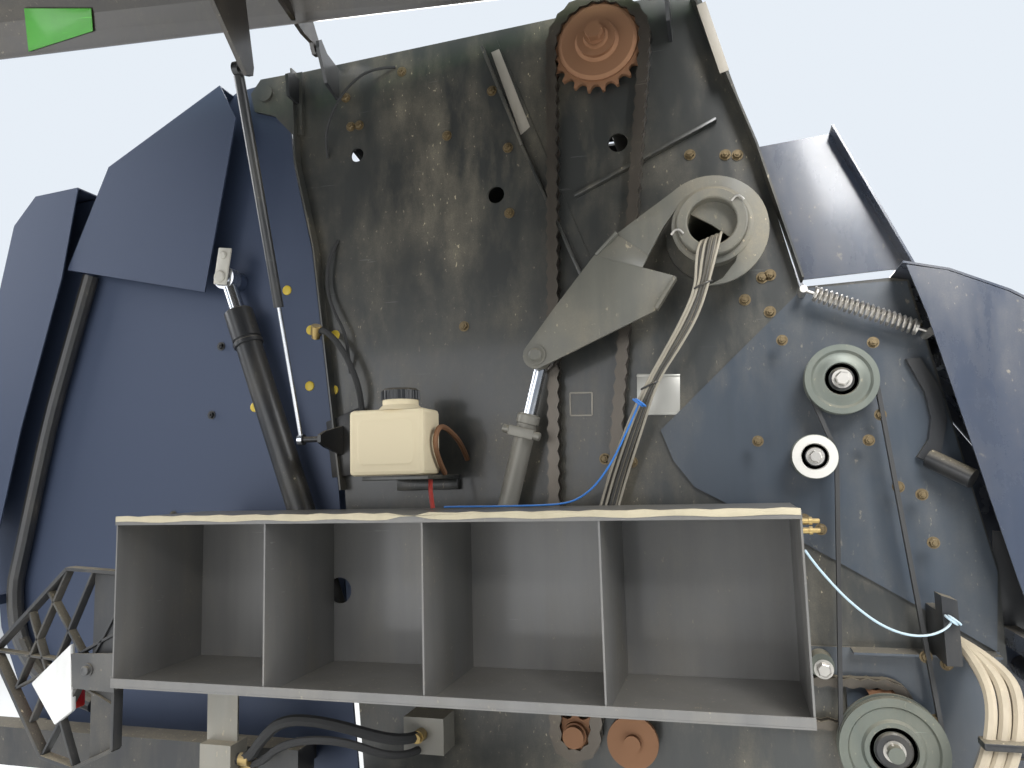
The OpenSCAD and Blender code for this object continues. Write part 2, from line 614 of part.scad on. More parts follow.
spring_a = [186, -680, 2019];
spring_b = [452, -680, 1896];
module coil_spring() color([0.25, 0.24, 0.24]) in_row() {
    d = unit(spring_b - spring_a);
    coil(spring_a + d * 26, spring_b - d * 26, 17, 3.4, 20, 8, 4);
    for (e = [[spring_a, d], [spring_b, -d]]) {
        rod_between(e[0] - e[1] * 4, e[0] + e[1] * 34, 4.5);
        rod_between(e[0] + e[1] * 27, e[0] + e[1] * 34, 17.4);
    }
    y_rod(spring_a[0], spring_a[2], -694, -out_y - 8, 9);
    y_rod(spring_b[0], spring_b[2], -694, -out_y - 8, 9);
}

module lever_linkage() color([0.12, 0.12, 0.14]) in_row() {
    xz_plate([[404, 1842], [434, 1842], [470, 1770], [478, 1694], [460, 1620], [430, 1600], [410, 1612],
        [436, 1650], [446, 1700], [438, 1760]], -out_y - 28, 20);
    rod_between([432, -out_y - 34, 1608], [505, -out_y - 84, 1560], 22);
    xz_plate([[404, 1280], [434, 1280], [434, 1310], [404, 1320]], -out_y - 160, 60);
    box([404, -out_y - 160, 1176.3], [30, 151.7, 104]);
}

// Rollers and belts of the fixed front

module roller(x, z, r) {
    y_rod(x, z, -half + 12, half - 12, r);
    y_rod(x, z, -half, half, 22);
}

module chamber_rollers() color([0.35, 0.35, 0.36]) in_row() {
    for (c = front_rollers) roller(c[0], c[1], c[2]);
    roller(-60, 905, 95);
    roller(-860, 860, 80);
}

module belts(c) for (i = [0:belt_count - 1])
    band([for (q = c) [q[0], q[1], q[2] + seat_gap]], belt_t,
        (i - (belt_count - 1) / 2) * (belt_w + belt_gap) - belt_w / 2, belt_w, 8);

module chamber_belts() color([0.15, 0.15, 0.15]) in_row() belts(front_rollers);

// Hinge lugs of the covers on the frame

module cover_hinges() color([0.3, 0.32, 0.36]) in_row() both() {
    for (x = cover_arm_x) {
        yz_plate([[-out_y, 2740], [-out_y, 2838], [-690, 2850], [-hinge_y - 4, 2876], [-hinge_y - 18, 2866],
            [-hinge_y - 18, 2844], [-690, 2760]], x + cover_arm_t + 6, 10);
        x_rod(-hinge_y, hinge_z, x - 6, x + cover_arm_t + 6, hinge_r);
    }
    yz_plate([[-out_y - 17.3, 2740], [-out_y - 17.3, 2820], [-680, 2820], [-700, 2806], [-690, 2740]], -1224, 10);
    yz_plate([[-out_y, 1660], [-out_y, 1750], [-735, 1728], [-765, 1716], [-765, 1696], [-735, 1684]],
        -1075, 10);
    x_rod(strut_foot[0], strut_foot[1], strut_x + 8, -1070, 8);
}

// Hydraulic pieces under and behind the tray

module valve_block() color([0.5, 0.5, 0.48]) in_row() {
    box([-1340, -880, 860], [90, 70, 80]);
    box([-1345, -846, 870], [90, 6, tray_z0 - 870]);
    box([-860, -700, 890], [110, 80, 90]);
}

module frame_hoses() color([0.08, 0.08, 0.08]) in_row() {
    swept_tube(route([[-1249.6, -850, 900], [-1236, -850, 900], [-1218, -850, 900], [-1180, -856, 950], [-1115, -860, 1008],
        [-1000, -840, 1000], [-860, -790, 950], [-810, -740, 940], [-810, -720, 940], [-810, -700.4, 940]]),
        14);
    swept_tube(route([[434.4, -700, 1215], [448, -700, 1215], [466, -700, 1215], [506, -768, 1198], [512, -840, 1130],
        [460, -860, 1000], [400, -830, 900], [396, -740, 850], [396, -660, 845], [396, -628.4, 845]]), 16);
}

wire_r = 16;
module wire_bundle() color([0.55, 0.5, 0.4]) in_row() {
    // The bundle's end lies against the tray's back
    rest_y = -tray_back_y + wire_r + seat_gap;
    swept_tube(route([[-16, -745, 2187], [-24, -790, 2170], [-60, -800, 2050], [-100, -795, 1920],
        [-170, -770, 1780], [-240, -730, 1660], [-300, rest_y, 1530], [-306, rest_y, 1490],
        [-310, rest_y, 1450]]), wire_r);
}

// Feed rotor, pickup and its gauge wheels

module feed_rotor() color([0.3, 0.3, 0.3]) in_row() {
    y_rod(rotor_x, rotor_z, -540, 540, 70);
    y_rod(rotor_x, rotor_z, -566, 566, 30);
    for (i = [0:11]) translate([rotor_x, -506 + i * 92, rotor_z]) rotate([90, i * 30, 0])
        linear_extrude(12, center = true) for (k = [0:3]) rotate(90 * k)
            polygon([[0, -30], [40, -50], [140, -20], [rotor_r, 14], [140, 10], [40, 44], [0, 30]]);
}

module pickup_frame() color([0.1, 0.12, 0.16]) in_row() {
    both() {
        difference() {
            xz_plate([[lift_x - 40, lift_z + 30], [lift_x + 40, lift_z + 40], [reel_x + 120, reel_z + 290],
                [reel_x + 300, reel_z + 60], [reel_x + 200, reel_z - 240], [reel_x - 290, reel_z - 200],
                [lift_x - 20, lift_z - 120]], -reel_half - 18, 12);
            y_rod(reel_x, reel_z, -reel_half - 30, -reel_half, 24 + run_gap);
        }
        y_rod(lift_x, lift_z, -reel_half - 6, -570, 24);
        y_rod(gauge_x, gauge_z, -reel_half - 150, -reel_half - 18, 16);
        y_rod(guard_x, guard_z, -reel_half - 6, -reel_half + 14, 12);
    }
    // Cross tube, clear of the tines
    y_rod(reel_x - 288, reel_z - 140, -reel_half - 6, reel_half + 6, 36);
}

// Stripper bands between the tines: a bent strip over the reel, open to the rear
band_r = 205;
band_count = 13;
band_pitch = 2 * (reel_half - 50) / band_count;
band_w = band_pitch - 48;
band_back = reel_x - 256;
// The bands end on a bar below the tines
band_foot = [reel_x + 150, reel_z - 256];
band_path = concat([[band_back, reel_z + band_r]], [for (a = [90:-15:-45])
    [reel_x + band_r * cos(a), reel_z + band_r * sin(a)]], [band_foot]);
module pickup_bands() color([0.45, 0.46, 0.46]) in_row() {
    for (i = [0:band_count - 1])
        xz_plate(strip(band_path, -sheet_t), (i - (band_count - 1) / 2) * band_pitch - band_w / 2, band_w);
    y_rod(band_back + 4, reel_z + band_r - 20, -reel_half - 6, reel_half + 6, 16);
    y_rod(band_foot[0] - 2, band_foot[1] - 4, -reel_half - 6, reel_half + 6, 10);
}

tine_bars = 4;
tine_bar_r = 150;
module pickup_reel() color([0.35, 0.3, 0.2]) in_row() translate([reel_x, 0, reel_z]) {
    rotate([90, 0, 0]) cylinder(h = 2 * reel_half - 40, r = 50, center = true);
    rotate([90, 0, 0]) cylinder(h = 2 * reel_half + 30, r = 24, center = true);
    for (k = [0:tine_bars - 1]) rotate([0, k * 360 / tine_bars, 0]) {
        translate([tine_bar_r, 0, 0]) rotate([90, 0, 0]) cylinder(h = 2 * reel_half - 40, r = 14, center = true);
        for (y = [-1, -1 / 3, 1 / 3, 1] * (reel_half - 30))
            translate([0, y - 4, -25]) cube([tine_bar_r, 8, 50]);
        for (i = [0:band_count]) translate([tine_bar_r, (i - band_count / 2) * band_pitch, 0])
            rotate([0, 90, 0]) cylinder(h = reel_r - tine_bar_r, r1 = 9, r2 = 5, $fn = 6);
    }
}

module gauge_wheel() difference() {
    union() {
        y_rod(gauge_x, gauge_z, -reel_half - 130, -reel_half - 50, gauge_r);
        y_rod(gauge_x, gauge_z, -reel_half - 138, -reel_half - 26, 50);
    }
    y_rod(gauge_x, gauge_z, -reel_half - 160, -reel_half - 10, 16 + run_gap);
}

module gauge_wheel_right() color([0.1, 0.1, 0.1]) in_row() gauge_wheel();

module gauge_wheel_left() color([0.1, 0.1, 0.1]) in_row() mirror([0, 1, 0]) gauge_wheel();

module windguard() color([0.35, 0.36, 0.36]) in_row() {
    y_rod(guard_x + 270, guard_z - 110, -reel_half + 6, reel_half - 6, 34);
    y_rod(guard_x + 160, guard_z, -reel_half + 6, reel_half - 6, 16);
    both() difference() {
        xz_plate([[guard_x - 22, guard_z], [guard_x - 8, guard_z + 22], [guard_x + 150, guard_z + 24],
            [guard_x + 300, guard_z - 100], [guard_x + 284, guard_z - 142], [guard_x + 244, guard_z - 130],
            [guard_x + 110, guard_z - 30], [guard_x, guard_z - 22]], -reel_half, 8);
        y_rod(guard_x, guard_z, -reel_half - 10, -reel_half + 20, 12 + run_gap);
    }
}

// Tension arms on their torque tube, drawn for the right side and mirrored

module tension_arms() color([0.13, 0.14, 0.17]) in_row() {
    difference() {
        y_rod(arm_x, arm_z, -arm_y - 10, arm_y + 10, tube_r);
        y_rod(arm_x, arm_z, -arm_y - 11, arm_y + 11, tube_bore_r);
    }
    both() difference() {
        union() {
            xz_plate(loop_outline([[arm_x, arm_z, arm_r], [arm_tip[0], arm_tip[1], 44]], 0, 24), -arm_y, arm_t);
            y_rod(arm_tip[0], arm_tip[1], -arm_y - 14, -arm_y, 26);
        }
        y_rod(arm_x, arm_z, -arm_y - 20, -arm_y + arm_t + 20, tube_r + seat_gap);
    }
}

// Cylinder pieces along the line from base to tip, [x, z] points, at distance y on the right side
module barrel(base, tip, y, r, len, eye, pin, bore) difference() {
    d = [tip[0] - base[0], 0, tip[1] - base[1]] / norm(tip - base);
    b = [base[0], -y, base[1]];
    union() {
        rod_between(b + d * eye, b + d * len, r);
        y_rod(base[0], base[1], -y - 18, -y + 18, eye + 2);
    }
    y_rod(base[0], base[1], -y - 30, -y + 30, pin + run_gap);
    rod_between(b + d * (eye + 30), b + d * (len + 10), bore);
}

// The pin stays in the rod's eye and ends pin_gap short of the piece that it holds, at distance seat
pin_gap = 1;
module rod_piece(base, tip, y, r, inside, eye, eye_w, pin, seat) {
    d = [tip[0] - base[0], 0, tip[1] - base[1]] / norm(tip - base);
    b = [base[0], -y, base[1]];
    rod_between(b + d * inside, b + d * (norm(tip - base) - eye + 4), r);
    y_rod(tip[0], tip[1], -y - eye_w / 2, -y + eye_w / 2, eye);
    near = seat > y ? -seat + pin_gap : -y - eye_w / 2 - 3;
    far = seat > y ? -y + eye_w / 2 + 3 : -seat - pin_gap;
    y_rod(tip[0], tip[1], near, far, pin);
}

module arm_barrels() color([0.12, 0.13, 0.15]) in_row() both()
    barrel(arm_base, arm_tip, arm_cyl_y, arm_cyl_r, 655, 30, arm_pin_r, arm_rod_r + run_gap);

module arm_rods() color([0.75, 0.76, 0.78]) in_row() both()
    rod_piece(arm_base, arm_tip, arm_cyl_y, arm_rod_r, 90, 30, 26, arm_pin_r, arm_y - arm_t);

module gate_barrels() color([0.1, 0.11, 0.13]) in_row() both()
    barrel(gate_base, gate_top, gate_cyl_y, gate_cyl_r, 960, 38, cyl_pin_r, gate_rod_r + run_gap);

module gate_rods() color([0.75, 0.76, 0.78]) in_row() both()
    rod_piece(gate_base, gate_top, gate_cyl_y, gate_rod_r, 110, 34, 40, cyl_pin_r, out_y + 30);

// Tailgate

module gate_plates() color([0.1, 0.12, 0.17]) in_row() both() difference() {
    union() {
        xz_plate(gate_outline, -out_y, plate_t);
        y_rod(gate_pivot_x, gate_pivot_z, -half, -half + 18, 46);
        y_rod(gate_top[0], gate_top[1], -out_y - 30, -out_y, 30);
    }
    y_rod(gate_pivot_x, gate_pivot_z, -out_y - 1, -half + 40, gate_pin_r + run_gap);
}

module gate_shrouds() color([0.12, 0.15, 0.22]) in_row() both() {
    xz_plate([[-2019, 2286], [-1871, 2609], [-1460, 2815], [-1400, 2700], [-1500, 2166]], -shroud_y, sheet_t);
    xz_plate(strip([[-2019, 2286], [-1871, 2609], [-1460, 2815]], -sheet_t), -shroud_y, shroud_y - out_y);
}

gate_tube_path = [[-1970, 2272], [-2060, 1980], [-2117, 1779], [-2198, 1411], [-2223, 1269], [-2190, 1120],
    [-2080, 1000], [-1900, 940]];
module gate_frame() color([0.08, 0.09, 0.11]) in_row() {
    both() {
        swept_tube(route([for (p = gate_tube_path) [p[0], -out_y - gate_tube_r - seat_gap, p[1]]], 3),
            gate_tube_r, 12);
        box([-2200, -780, 800], [1080, 80, 105]);
        box([-2160, -700, 830], [60, 80, 50]);
        box([-1220, -700, 830], [60, 80, 50]);
    }
    for (b = [[-1700, 2500, 60, 60], [-2228, 2380, 40, 50], [-2346, 1650, 40, 60], [-2150, 880, 60, 40]])
        box([b[0], -half, b[1]], [b[2], chamber_w, b[3]]);
}

module gate_rear_cover() color([0.1, 0.12, 0.17]) in_row() {
    both() xz_plate([[-1980, 2548], [-2150, 2540], [-2232, 2452], [-2357, 1890], [-2374, 1500], [-2300, 1180],
        [-2255, 1180], [-2250, 1411], [-2168, 1779], [-2030, 2260]], -700, 4);
    both() for (b = [[-2200, 2330], [-2320, 1780], [-2290, 1230]]) box([b[0], -698, b[1]], [30, 698 - out_y, 30]);
    xz_plate(strip([[-1980, 2548], [-2150, 2540], [-2232, 2452], [-2357, 1890], [-2374, 1500]], -4), -700, 1400);
}

module gate_rollers() color([0.35, 0.35, 0.36]) in_row()
    for (c = gate_rollers_at) roller(c[0], c[1], c[2]);

module gate_belts() color([0.15, 0.15, 0.15]) in_row() belts(gate_rollers_at);

// Side covers, drawn closed for the right side from the hinge line

// Stations of the cover from its rear to its front end, columns: share of the length, radius of the
// upper bend, height of the top edge, distance of the inner edge from the hinge line
cover_stations = [[0, 190, 2620, 120], [0.72, 332, 2855, 30], [1, 332, 2855, 30]];
cover_lip = 25;
function cover_x(z, u) = let (s = (2855 - z) / (2855 - cover_low_z)) (-2060 + 150 * s) * (1 - u)
    + (60 + 540 * s) * u;
function cover_line(s, t, n = 8) = let (r = s[1], yc = -cover_y + r, zc = s[2] - r, ye = -hinge_y - s[3])
    concat([[ye - t, s[2] - cover_lip], [ye - t, s[2] - t]],
        [for (k = [0:n]) let (a = 90 * k / n) [yc - (r - t) * sin(a), zc + (r - t) * cos(a)]],
        [[-cover_y + t, cover_low_z + t], [-cover_y + 40, cover_low_z + t]]);
// Wall of the cover between its outer and its inner line, closed by triangles
module cover_shell(stations, t) {
    n = len(cover_line(stations[0], 0));
    last = len(stations) - 1;
    pts = [for (s = stations) for (w = [0, t]) for (p = cover_line(s, w)) [cover_x(p[1], s[0]), p[0], p[1]]];
    // Number of point k of station j on the outer line, e = 0, or on the inner one, e = 1
    function at(j, e, k) = (2 * j + e) * n + k;
    function pair(a, b, c, d) = [[a, b, c], [a, c, d]];
    quads = concat(
        [for (j = [0:last - 1]) for (k = [0:n - 2]) [at(j, 0, k), at(j + 1, 0, k), at(j + 1, 0, k + 1), at(j, 0, k + 1)]],
        [for (j = [0:last - 1]) for (k = [0:n - 2]) [at(j, 1, k + 1), at(j + 1, 1, k + 1), at(j + 1, 1, k), at(j, 1, k)]],
        [for (j = [0:last - 1]) [at(j, 1, 0), at(j + 1, 1, 0), at(j + 1, 0, 0), at(j, 0, 0)]],
        [for (j = [0:last - 1]) [at(j, 0, n - 1), at(j + 1, 0, n - 1), at(j + 1, 1, n - 1), at(j, 1, n - 1)]],
        [for (k = [0:n - 2]) [at(0, 0, k), at(0, 0, k + 1), at(0, 1, k + 1), at(0, 1, k)]],
        [for (k = [0:n - 2]) [at(last, 1, k), at(last, 1, k + 1), at(last, 0, k + 1), at(last, 0, k)]]);
    polyhedron(points = pts, faces = [for (q = quads) each pair(q[0], q[1], q[2], q[3])], convexity = 8);
}

cover_arm = [[0, 24], [-70, 14], [-190, -75], [-315, -235], [-360, -355], [-362, -520], [-250, -520],
    [28, -428], [54, -416], [58, -392], [40, -378], [-120, -330], [-200, -260], [-150, -170], [-40, -60],
    [-16, -20], [16, -20], [24, 0], [18, 18]];
module cover_closed() {
    cover_shell(cover_stations, cover_t);
    for (x = cover_arm_x) difference() {
        translate([0, -hinge_y, hinge_z]) yz_plate(cover_arm, x, cover_arm_t);
        x_rod(-hinge_y, hinge_z, x - 1, x + cover_arm_t + 1, hinge_r + run_gap);
    }
    x_rod(-hinge_y + strut_eye[0], hinge_z + strut_eye[1], strut_x - 12, cover_arm_x[0], 5);
}

// Turns a right side piece about the hinge line, a positive angle opens the cover
module opened(a) translate([0, -hinge_y, hinge_z]) rotate([-a, 0, 0]) translate([0, hinge_y, -hinge_z])
    children();

module cover_right() color([0.1, 0.55, 0.06]) in_row() opened(open_angle) cover_closed();

module cover_left() color([0.1, 0.55, 0.06]) in_row() mirror([0, 1, 0]) cover_closed();

// Gas strut between the stud on the frame and the eye on the cover
function eye_at(a) = [-hinge_y + strut_eye[0] * cos(a) + strut_eye[1] * sin(a),
    hinge_z - strut_eye[0] * sin(a) + strut_eye[1] * cos(a)];
strut_len = 600;
module strut_barrel(a) {
    e = eye_at(a);
    top = [strut_x, e[0], e[1]];
    d = unit([0, strut_foot[0] - e[0], strut_foot[1] - e[1]]);
    difference() {
        union() {
            rod_between(top + d * 16, top + d * strut_len, strut_r);
            x_rod(e[0], e[1], strut_x - 8, strut_x + 8, 18);
        }
        x_rod(e[0], e[1], strut_x - 20, strut_x + 20, 5 + run_gap);
        rod_between(top + d * 60, top + d * (strut_len + 5), strut_rod_r + run_gap);
    }
}

module strut_rod(a) {
    e = eye_at(a);
    foot = [strut_x, strut_foot[0], strut_foot[1]];
    d = unit([0, e[0] - strut_foot[0], e[1] - strut_foot[1]]);
    rod_between(foot + d * 12, foot + d * 560, strut_rod_r);
    x_rod(strut_foot[0], strut_foot[1], strut_x - 7, strut_x + 7, 15);
}

module strut_barrel_right() color([0.08, 0.08, 0.08]) in_row() strut_barrel(open_angle);

module strut_rod_right() color([0.75, 0.76, 0.78]) in_row() strut_rod(open_angle);

module strut_barrel_left() color([0.08, 0.08, 0.08]) in_row() mirror([0, 1, 0]) strut_barrel(0);

module strut_rod_left() color([0.75, 0.76, 0.78]) in_row() mirror([0, 1, 0]) strut_rod(0);

// Main wheels, drawn for the right side

rim_r = 216;
module rim() translate([axle_x, -wheel_y, axle_z]) rotate([90, 0, 0]) difference() {
    rotate_extrude() polygon([[spindle_r + run_gap, -60], [70, -60], [80, 10], [rim_r - 66, 20],
        [rim_r - 26, -6], [rim_r - 26, -150], [rim_r + 18, -170], [rim_r + 18, -163], [rim_r, -150],
        [rim_r, 150], [rim_r + 18, 163], [rim_r + 18, 170], [rim_r - 26, 150], [rim_r - 26, 30],
        [rim_r - 66, 44], [70, 34], [66, 70], [spindle_r + run_gap, 70]]);
}

tyre_lugs = 22;
module tyre() translate([axle_x, -wheel_y, axle_z]) rotate([90, 0, 0]) {
    w = tyre_w / 2;
    rotate_extrude() polygon([[rim_r + 0.3, -150], [rim_r + 18.3, -161], [300, -w], [384, -w + 8],
        [tyre_r - 24, -w + 34], [tyre_r - 18, -60], [tyre_r - 18, 60], [tyre_r - 24, w - 34], [384, w - 8],
        [300, w], [rim_r + 18.3, 161], [rim_r + 0.3, 150]]);
    for (i = [0:tyre_lugs - 1], e = [0, 1]) rotate((i + e / 2) * 360 / tyre_lugs) mirror([0, 0, e])
        translate([0, 0, 2]) linear_extrude(w - 14)
            polygon([[tyre_r - 60, -16], [tyre_r - 1, -14], [tyre_r - 1, 14], [tyre_r - 60, 16]]);
}

module rim_right() color([0.75, 0.74, 0.7]) in_row() rim();

module rim_left() color([0.75, 0.74, 0.7]) in_row() mirror([0, 1, 0]) rim();

module tyre_right() color([0.08, 0.08, 0.08]) in_row() tyre();

module tyre_left() color([0.08, 0.08, 0.08]) in_row() mirror([0, 1, 0]) tyre();

side_plate_right();
side_plate_left();
side_ribs();
cross_beams();
drive_plate();
corner_guards();
front_hood();
axle();
drawbar();
gearbox();
pto_shaft();
tray_right();
tray_left();
lamp_carriers();
oil_bottle();
sprockets();
main_chain();
lower_chain();
pulleys();
cogged_belts();
coil_spring();
lever_linkage();
chamber_rollers();
chamber_belts();
cover_hinges();
valve_block();
frame_hoses();
wire_bundle();
feed_rotor();
pickup_frame();
pickup_bands();
pickup_reel();
gauge_wheel_right();
gauge_wheel_left();
windguard();
tension_arms();
arm_barrels();
arm_rods();
gate_plates();
gate_shrouds();
gate_frame();
gate_rear_cover();
gate_rollers();
gate_belts();
gate_barrels();
gate_rods();
cover_right();
strut_barrel_right();
strut_rod_right();
cover_left();
strut_barrel_left();
strut_rod_left();
rim_right();
tyre_right();
rim_left();
tyre_left();
parking_jack();
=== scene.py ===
"""Variable chamber round baler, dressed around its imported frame.

The machine stands on its wheels and its parking jack with the right side cover raised. Sizes are in
millimetres from the machine's datum unless a name says otherwise: x runs forward from the shaft line of
the tension arms, y to the machine's left from the centre plane, z up from the ground.
"""

from __future__ import annotations

import logging
import math
from dataclasses import dataclass
from enum import StrEnum
from typing import Sequence

import bpy
from mathutils import Matrix, Vector

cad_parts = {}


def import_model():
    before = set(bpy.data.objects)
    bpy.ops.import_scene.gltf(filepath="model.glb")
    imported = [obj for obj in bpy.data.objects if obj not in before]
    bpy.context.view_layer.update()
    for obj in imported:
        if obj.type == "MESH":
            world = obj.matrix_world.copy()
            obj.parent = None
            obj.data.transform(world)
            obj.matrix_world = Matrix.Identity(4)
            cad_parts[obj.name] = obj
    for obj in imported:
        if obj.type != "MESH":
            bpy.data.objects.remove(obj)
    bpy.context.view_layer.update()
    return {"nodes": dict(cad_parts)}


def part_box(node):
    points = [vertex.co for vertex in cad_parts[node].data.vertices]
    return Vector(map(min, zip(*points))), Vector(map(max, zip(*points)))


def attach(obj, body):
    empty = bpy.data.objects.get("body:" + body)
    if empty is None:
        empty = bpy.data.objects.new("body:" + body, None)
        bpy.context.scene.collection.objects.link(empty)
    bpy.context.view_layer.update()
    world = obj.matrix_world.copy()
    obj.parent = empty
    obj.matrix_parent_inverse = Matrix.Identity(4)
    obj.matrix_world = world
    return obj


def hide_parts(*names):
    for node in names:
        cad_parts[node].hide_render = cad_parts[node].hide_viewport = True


log = logging.getLogger("round_baler")

Spot = tuple[float, float]
Point = tuple[float, float, float]
Bar = tuple[Spot, Spot, float, float, float]
Block = tuple[Point, Point]
Plate = tuple[tuple[Spot, ...], float, float]
Route = tuple[tuple[Point, ...], float]
Piece = bpy.types.Object
Tree = bpy.types.NodeTree
Socket = bpy.types.NodeSocket

MM_IN_M = 1000.0
EYE_X = 2200.0
EYE_Z = 480.0
PLATE_FACE = 620.0
COVER_ARM_X = (-1116.0, -120.0)
COVER_ARM_HALF_M = 0.0135
UPWARD = (0.0, 0.0, 1.0)
WELD_M = 1e-5
SMOOTH_BELOW = 0.6

COAT_ROUGHNESS = 0.12
DUSTY_ROUGHNESS = 0.92
RUSTY_ROUGHNESS = 0.85
STREAK_SHADE = 0.72
STREAK_GAIN = 4
SCRATCH_GAIN = 2.6
SCRATCH_LIFT = 0.05
CHAFF_GAIN = 1.45
BUMP_M = 0.004


def place(x: float, y: float, z: float) -> Vector:
    """Turn a point of the machine's datum, in millimetres, into the frame's metres.

    Args:
        x: Forward place.
        y: Place to the left of the centre plane.
        z: Height above the ground.

    Returns:
        The point in the frame, in metres.
    """
    return Vector((mm(x - EYE_X), mm(y), mm(z - EYE_Z)))


def mm(value: float) -> float:
    """Millimetres as metres."""
    return value / MM_IN_M


class Body(StrEnum):
    """Bodies of the frame that carry pieces."""

    FRAME = "frame"
    ARMS = "arms"
    TENSION_BARRELS = "tension_barrels"
    LIFT_BARRELS = "lift_barrels"
    LIFT_RODS = "lift_rods"
    TAILGATE = "tailgate"
    RIGHT_COVER = "right_cover"


class Slot(StrEnum):
    """Material slots of the record that each piece names."""

    FRAME_PAINT = "frame_paint"
    BLACK_PAINT = "black_paint"
    WHEEL_PAINT = "wheel_paint"
    COVER_PAINT = "cover_paint"
    BARE_STEEL = "bare_steel"
    DARK_STEEL = "dark_steel"
    RUSTY_STEEL = "rusty_steel"
    WIRE_PLASTIC = "wire_plastic"
    LAMP_PLASTIC = "lamp_plastic"
    BOTTLE_PLASTIC = "bottle_plastic"
    HOSE_RUBBER = "hose_rubber"


class Lay(StrEnum):
    """Ways that a strand lies."""

    LOOSE = "loose"
    HANGING = "hanging"


# Shader groups shared by the finishes


def new_node(tree: Tree, kind: str, **values: object) -> bpy.types.Node:
    """Add a node and set its plain properties.

    Args:
        tree: Tree that takes the node.
        kind: The node's type.
        values: Properties to set on it.

    Returns:
        The new node.
    """
    made = tree.nodes.new(kind)
    for key, value in values.items():
        setattr(made, key, value)
    return made


def opened_group(name: str, takes: dict[str, float],
                 leaves: Sequence[str]) -> tuple[Tree, bpy.types.Node, bpy.types.Node, Socket]:
    """Open a shader group whose sockets are plain numbers.

    Args:
        name: The group's name.
        takes: Its inputs with their defaults.
        leaves: Its outputs.

    Returns:
        The group's tree, its input node, its output node and its Object coordinates.
    """
    tree = bpy.data.node_groups.new(name, "ShaderNodeTree")
    for label, value in takes.items():
        made = tree.interface.new_socket(name=label, in_out="INPUT", socket_type="NodeSocketFloat")
        made.default_value = value
    for label in leaves:
        tree.interface.new_socket(name=label, in_out="OUTPUT", socket_type="NodeSocketFloat")
    took, gives = new_node(tree, "NodeGroupInput"), new_node(tree, "NodeGroupOutput")
    return tree, took, gives, new_node(tree, "ShaderNodeTexCoord").outputs["Object"]


def ramp(tree: Tree, source: Socket, low: object, high: object,
         to_low: float = 0.0, to_high: float = 1.0) -> Socket:
    """Stretch a value between two limits.

    Args:
        tree: Tree that takes the node.
        source: Socket that gives the value.
        low: Value or socket that becomes to_low.
        high: Value or socket that becomes to_high.
        to_low: Result at low.
        to_high: Result at high.

    Returns:
        The stretched value's socket.
    """
    node = new_node(tree, "ShaderNodeMapRange", clamp=True)
    tree.links.new(source, node.inputs["Value"])
    for key, value in (("From Min", low), ("From Max", high)):
        if isinstance(value, Socket):
            tree.links.new(value, node.inputs[key])
        else:
            node.inputs[key].default_value = value
    node.inputs["To Min"].default_value = to_low
    node.inputs["To Max"].default_value = to_high
    return node.outputs["Result"]


def combine(tree: Tree, how: str, a: object, b: object) -> Socket:
    """Combine two values with a math node.

    Args:
        tree: Tree that takes the node.
        how: Operation of the math node.
        a: First value or socket.
        b: Second value or socket.

    Returns:
        The result's socket.
    """
    node = new_node(tree, "ShaderNodeMath", operation=how)
    for slot, value in enumerate((a, b)):
        if isinstance(value, Socket):
            tree.links.new(value, node.inputs[slot])
        else:
            node.inputs[slot].default_value = value
    return node.outputs[0]


def noise(tree: Tree, at: Socket, scale: object, detail: float,
          stretch: Sequence[float] = (1.0, 1.0, 1.0), roughness: float = 0.6) -> Socket:
    """Add a noise pattern.

    Args:
        tree: Tree that takes the nodes.
        at: Coordinates.
        scale: Scale or socket.
        detail: Octaves.
        stretch: Scale of each axis.
        roughness: Weight of the finer octaves.

    Returns:
        The pattern's value.
    """
    mapped = new_node(tree, "ShaderNodeMapping")
    mapped.inputs["Scale"].default_value = tuple(stretch)
    tree.links.new(at, mapped.inputs["Vector"])
    made = new_node(tree, "ShaderNodeTexNoise")
    made.inputs["Detail"].default_value = detail
    made.inputs["Roughness"].default_value = roughness
    if isinstance(scale, Socket):
        tree.links.new(scale, made.inputs["Scale"])
    else:
        made.inputs["Scale"].default_value = scale
    tree.links.new(mapped.outputs["Vector"], made.inputs["Vector"])
    return made.outputs["Fac"]


def dust_group() -> Tree:
    """Build the group that says where chaff dust lies.

    Returns:
        A group with a Mask of dust, more on faces that look up, and fine Specks of chaff.
    """
    if "chaff_dust" in bpy.data.node_groups:
        return bpy.data.node_groups["chaff_dust"]
    tree, took, gives, at = opened_group("chaff_dust", {"Amount": 0.4, "On Ledges": 0.8}, ("Mask", "Specks"))
    cloud = ramp(tree, noise(tree, at, 3.2, 5.0), 0.34, 0.72)
    smear = ramp(tree, noise(tree, at, 9.0, 6.0, (1.0, 1.0, 0.35)), 0.42, 0.75)
    grain = ramp(tree, noise(tree, at, 260.0, 3.0), 0.35, 0.7)
    flakes = ramp(tree, noise(tree, at, 95.0, 2.0, (1.0, 1.0, 0.6)), 0.66, 0.74)
    facing = new_node(tree, "ShaderNodeNewGeometry")
    split = new_node(tree, "ShaderNodeSeparateXYZ")
    tree.links.new(facing.outputs["Normal"], split.inputs[0])
    up = ramp(tree, split.outputs["Z"], 0.25, 0.95)
    wall = combine(tree, "MULTIPLY", combine(tree, "MULTIPLY", cloud, smear), took.outputs["Amount"])
    ledge = combine(tree, "MULTIPLY", up, took.outputs["On Ledges"])
    both = combine(tree, "MAXIMUM", wall, combine(tree, "MULTIPLY", ledge, ramp(tree, cloud, -0.6, 0.6)))
    grainy = combine(tree, "MULTIPLY", both, ramp(tree, grain, 0.0, 1.0, 0.6, 1.0))
    tree.links.new(grainy, gives.inputs["Mask"])
    strewn = combine(tree, "MULTIPLY", flakes, ramp(tree, both, 0.02, 0.3))
    tree.links.new(strewn, gives.inputs["Specks"])
    return tree


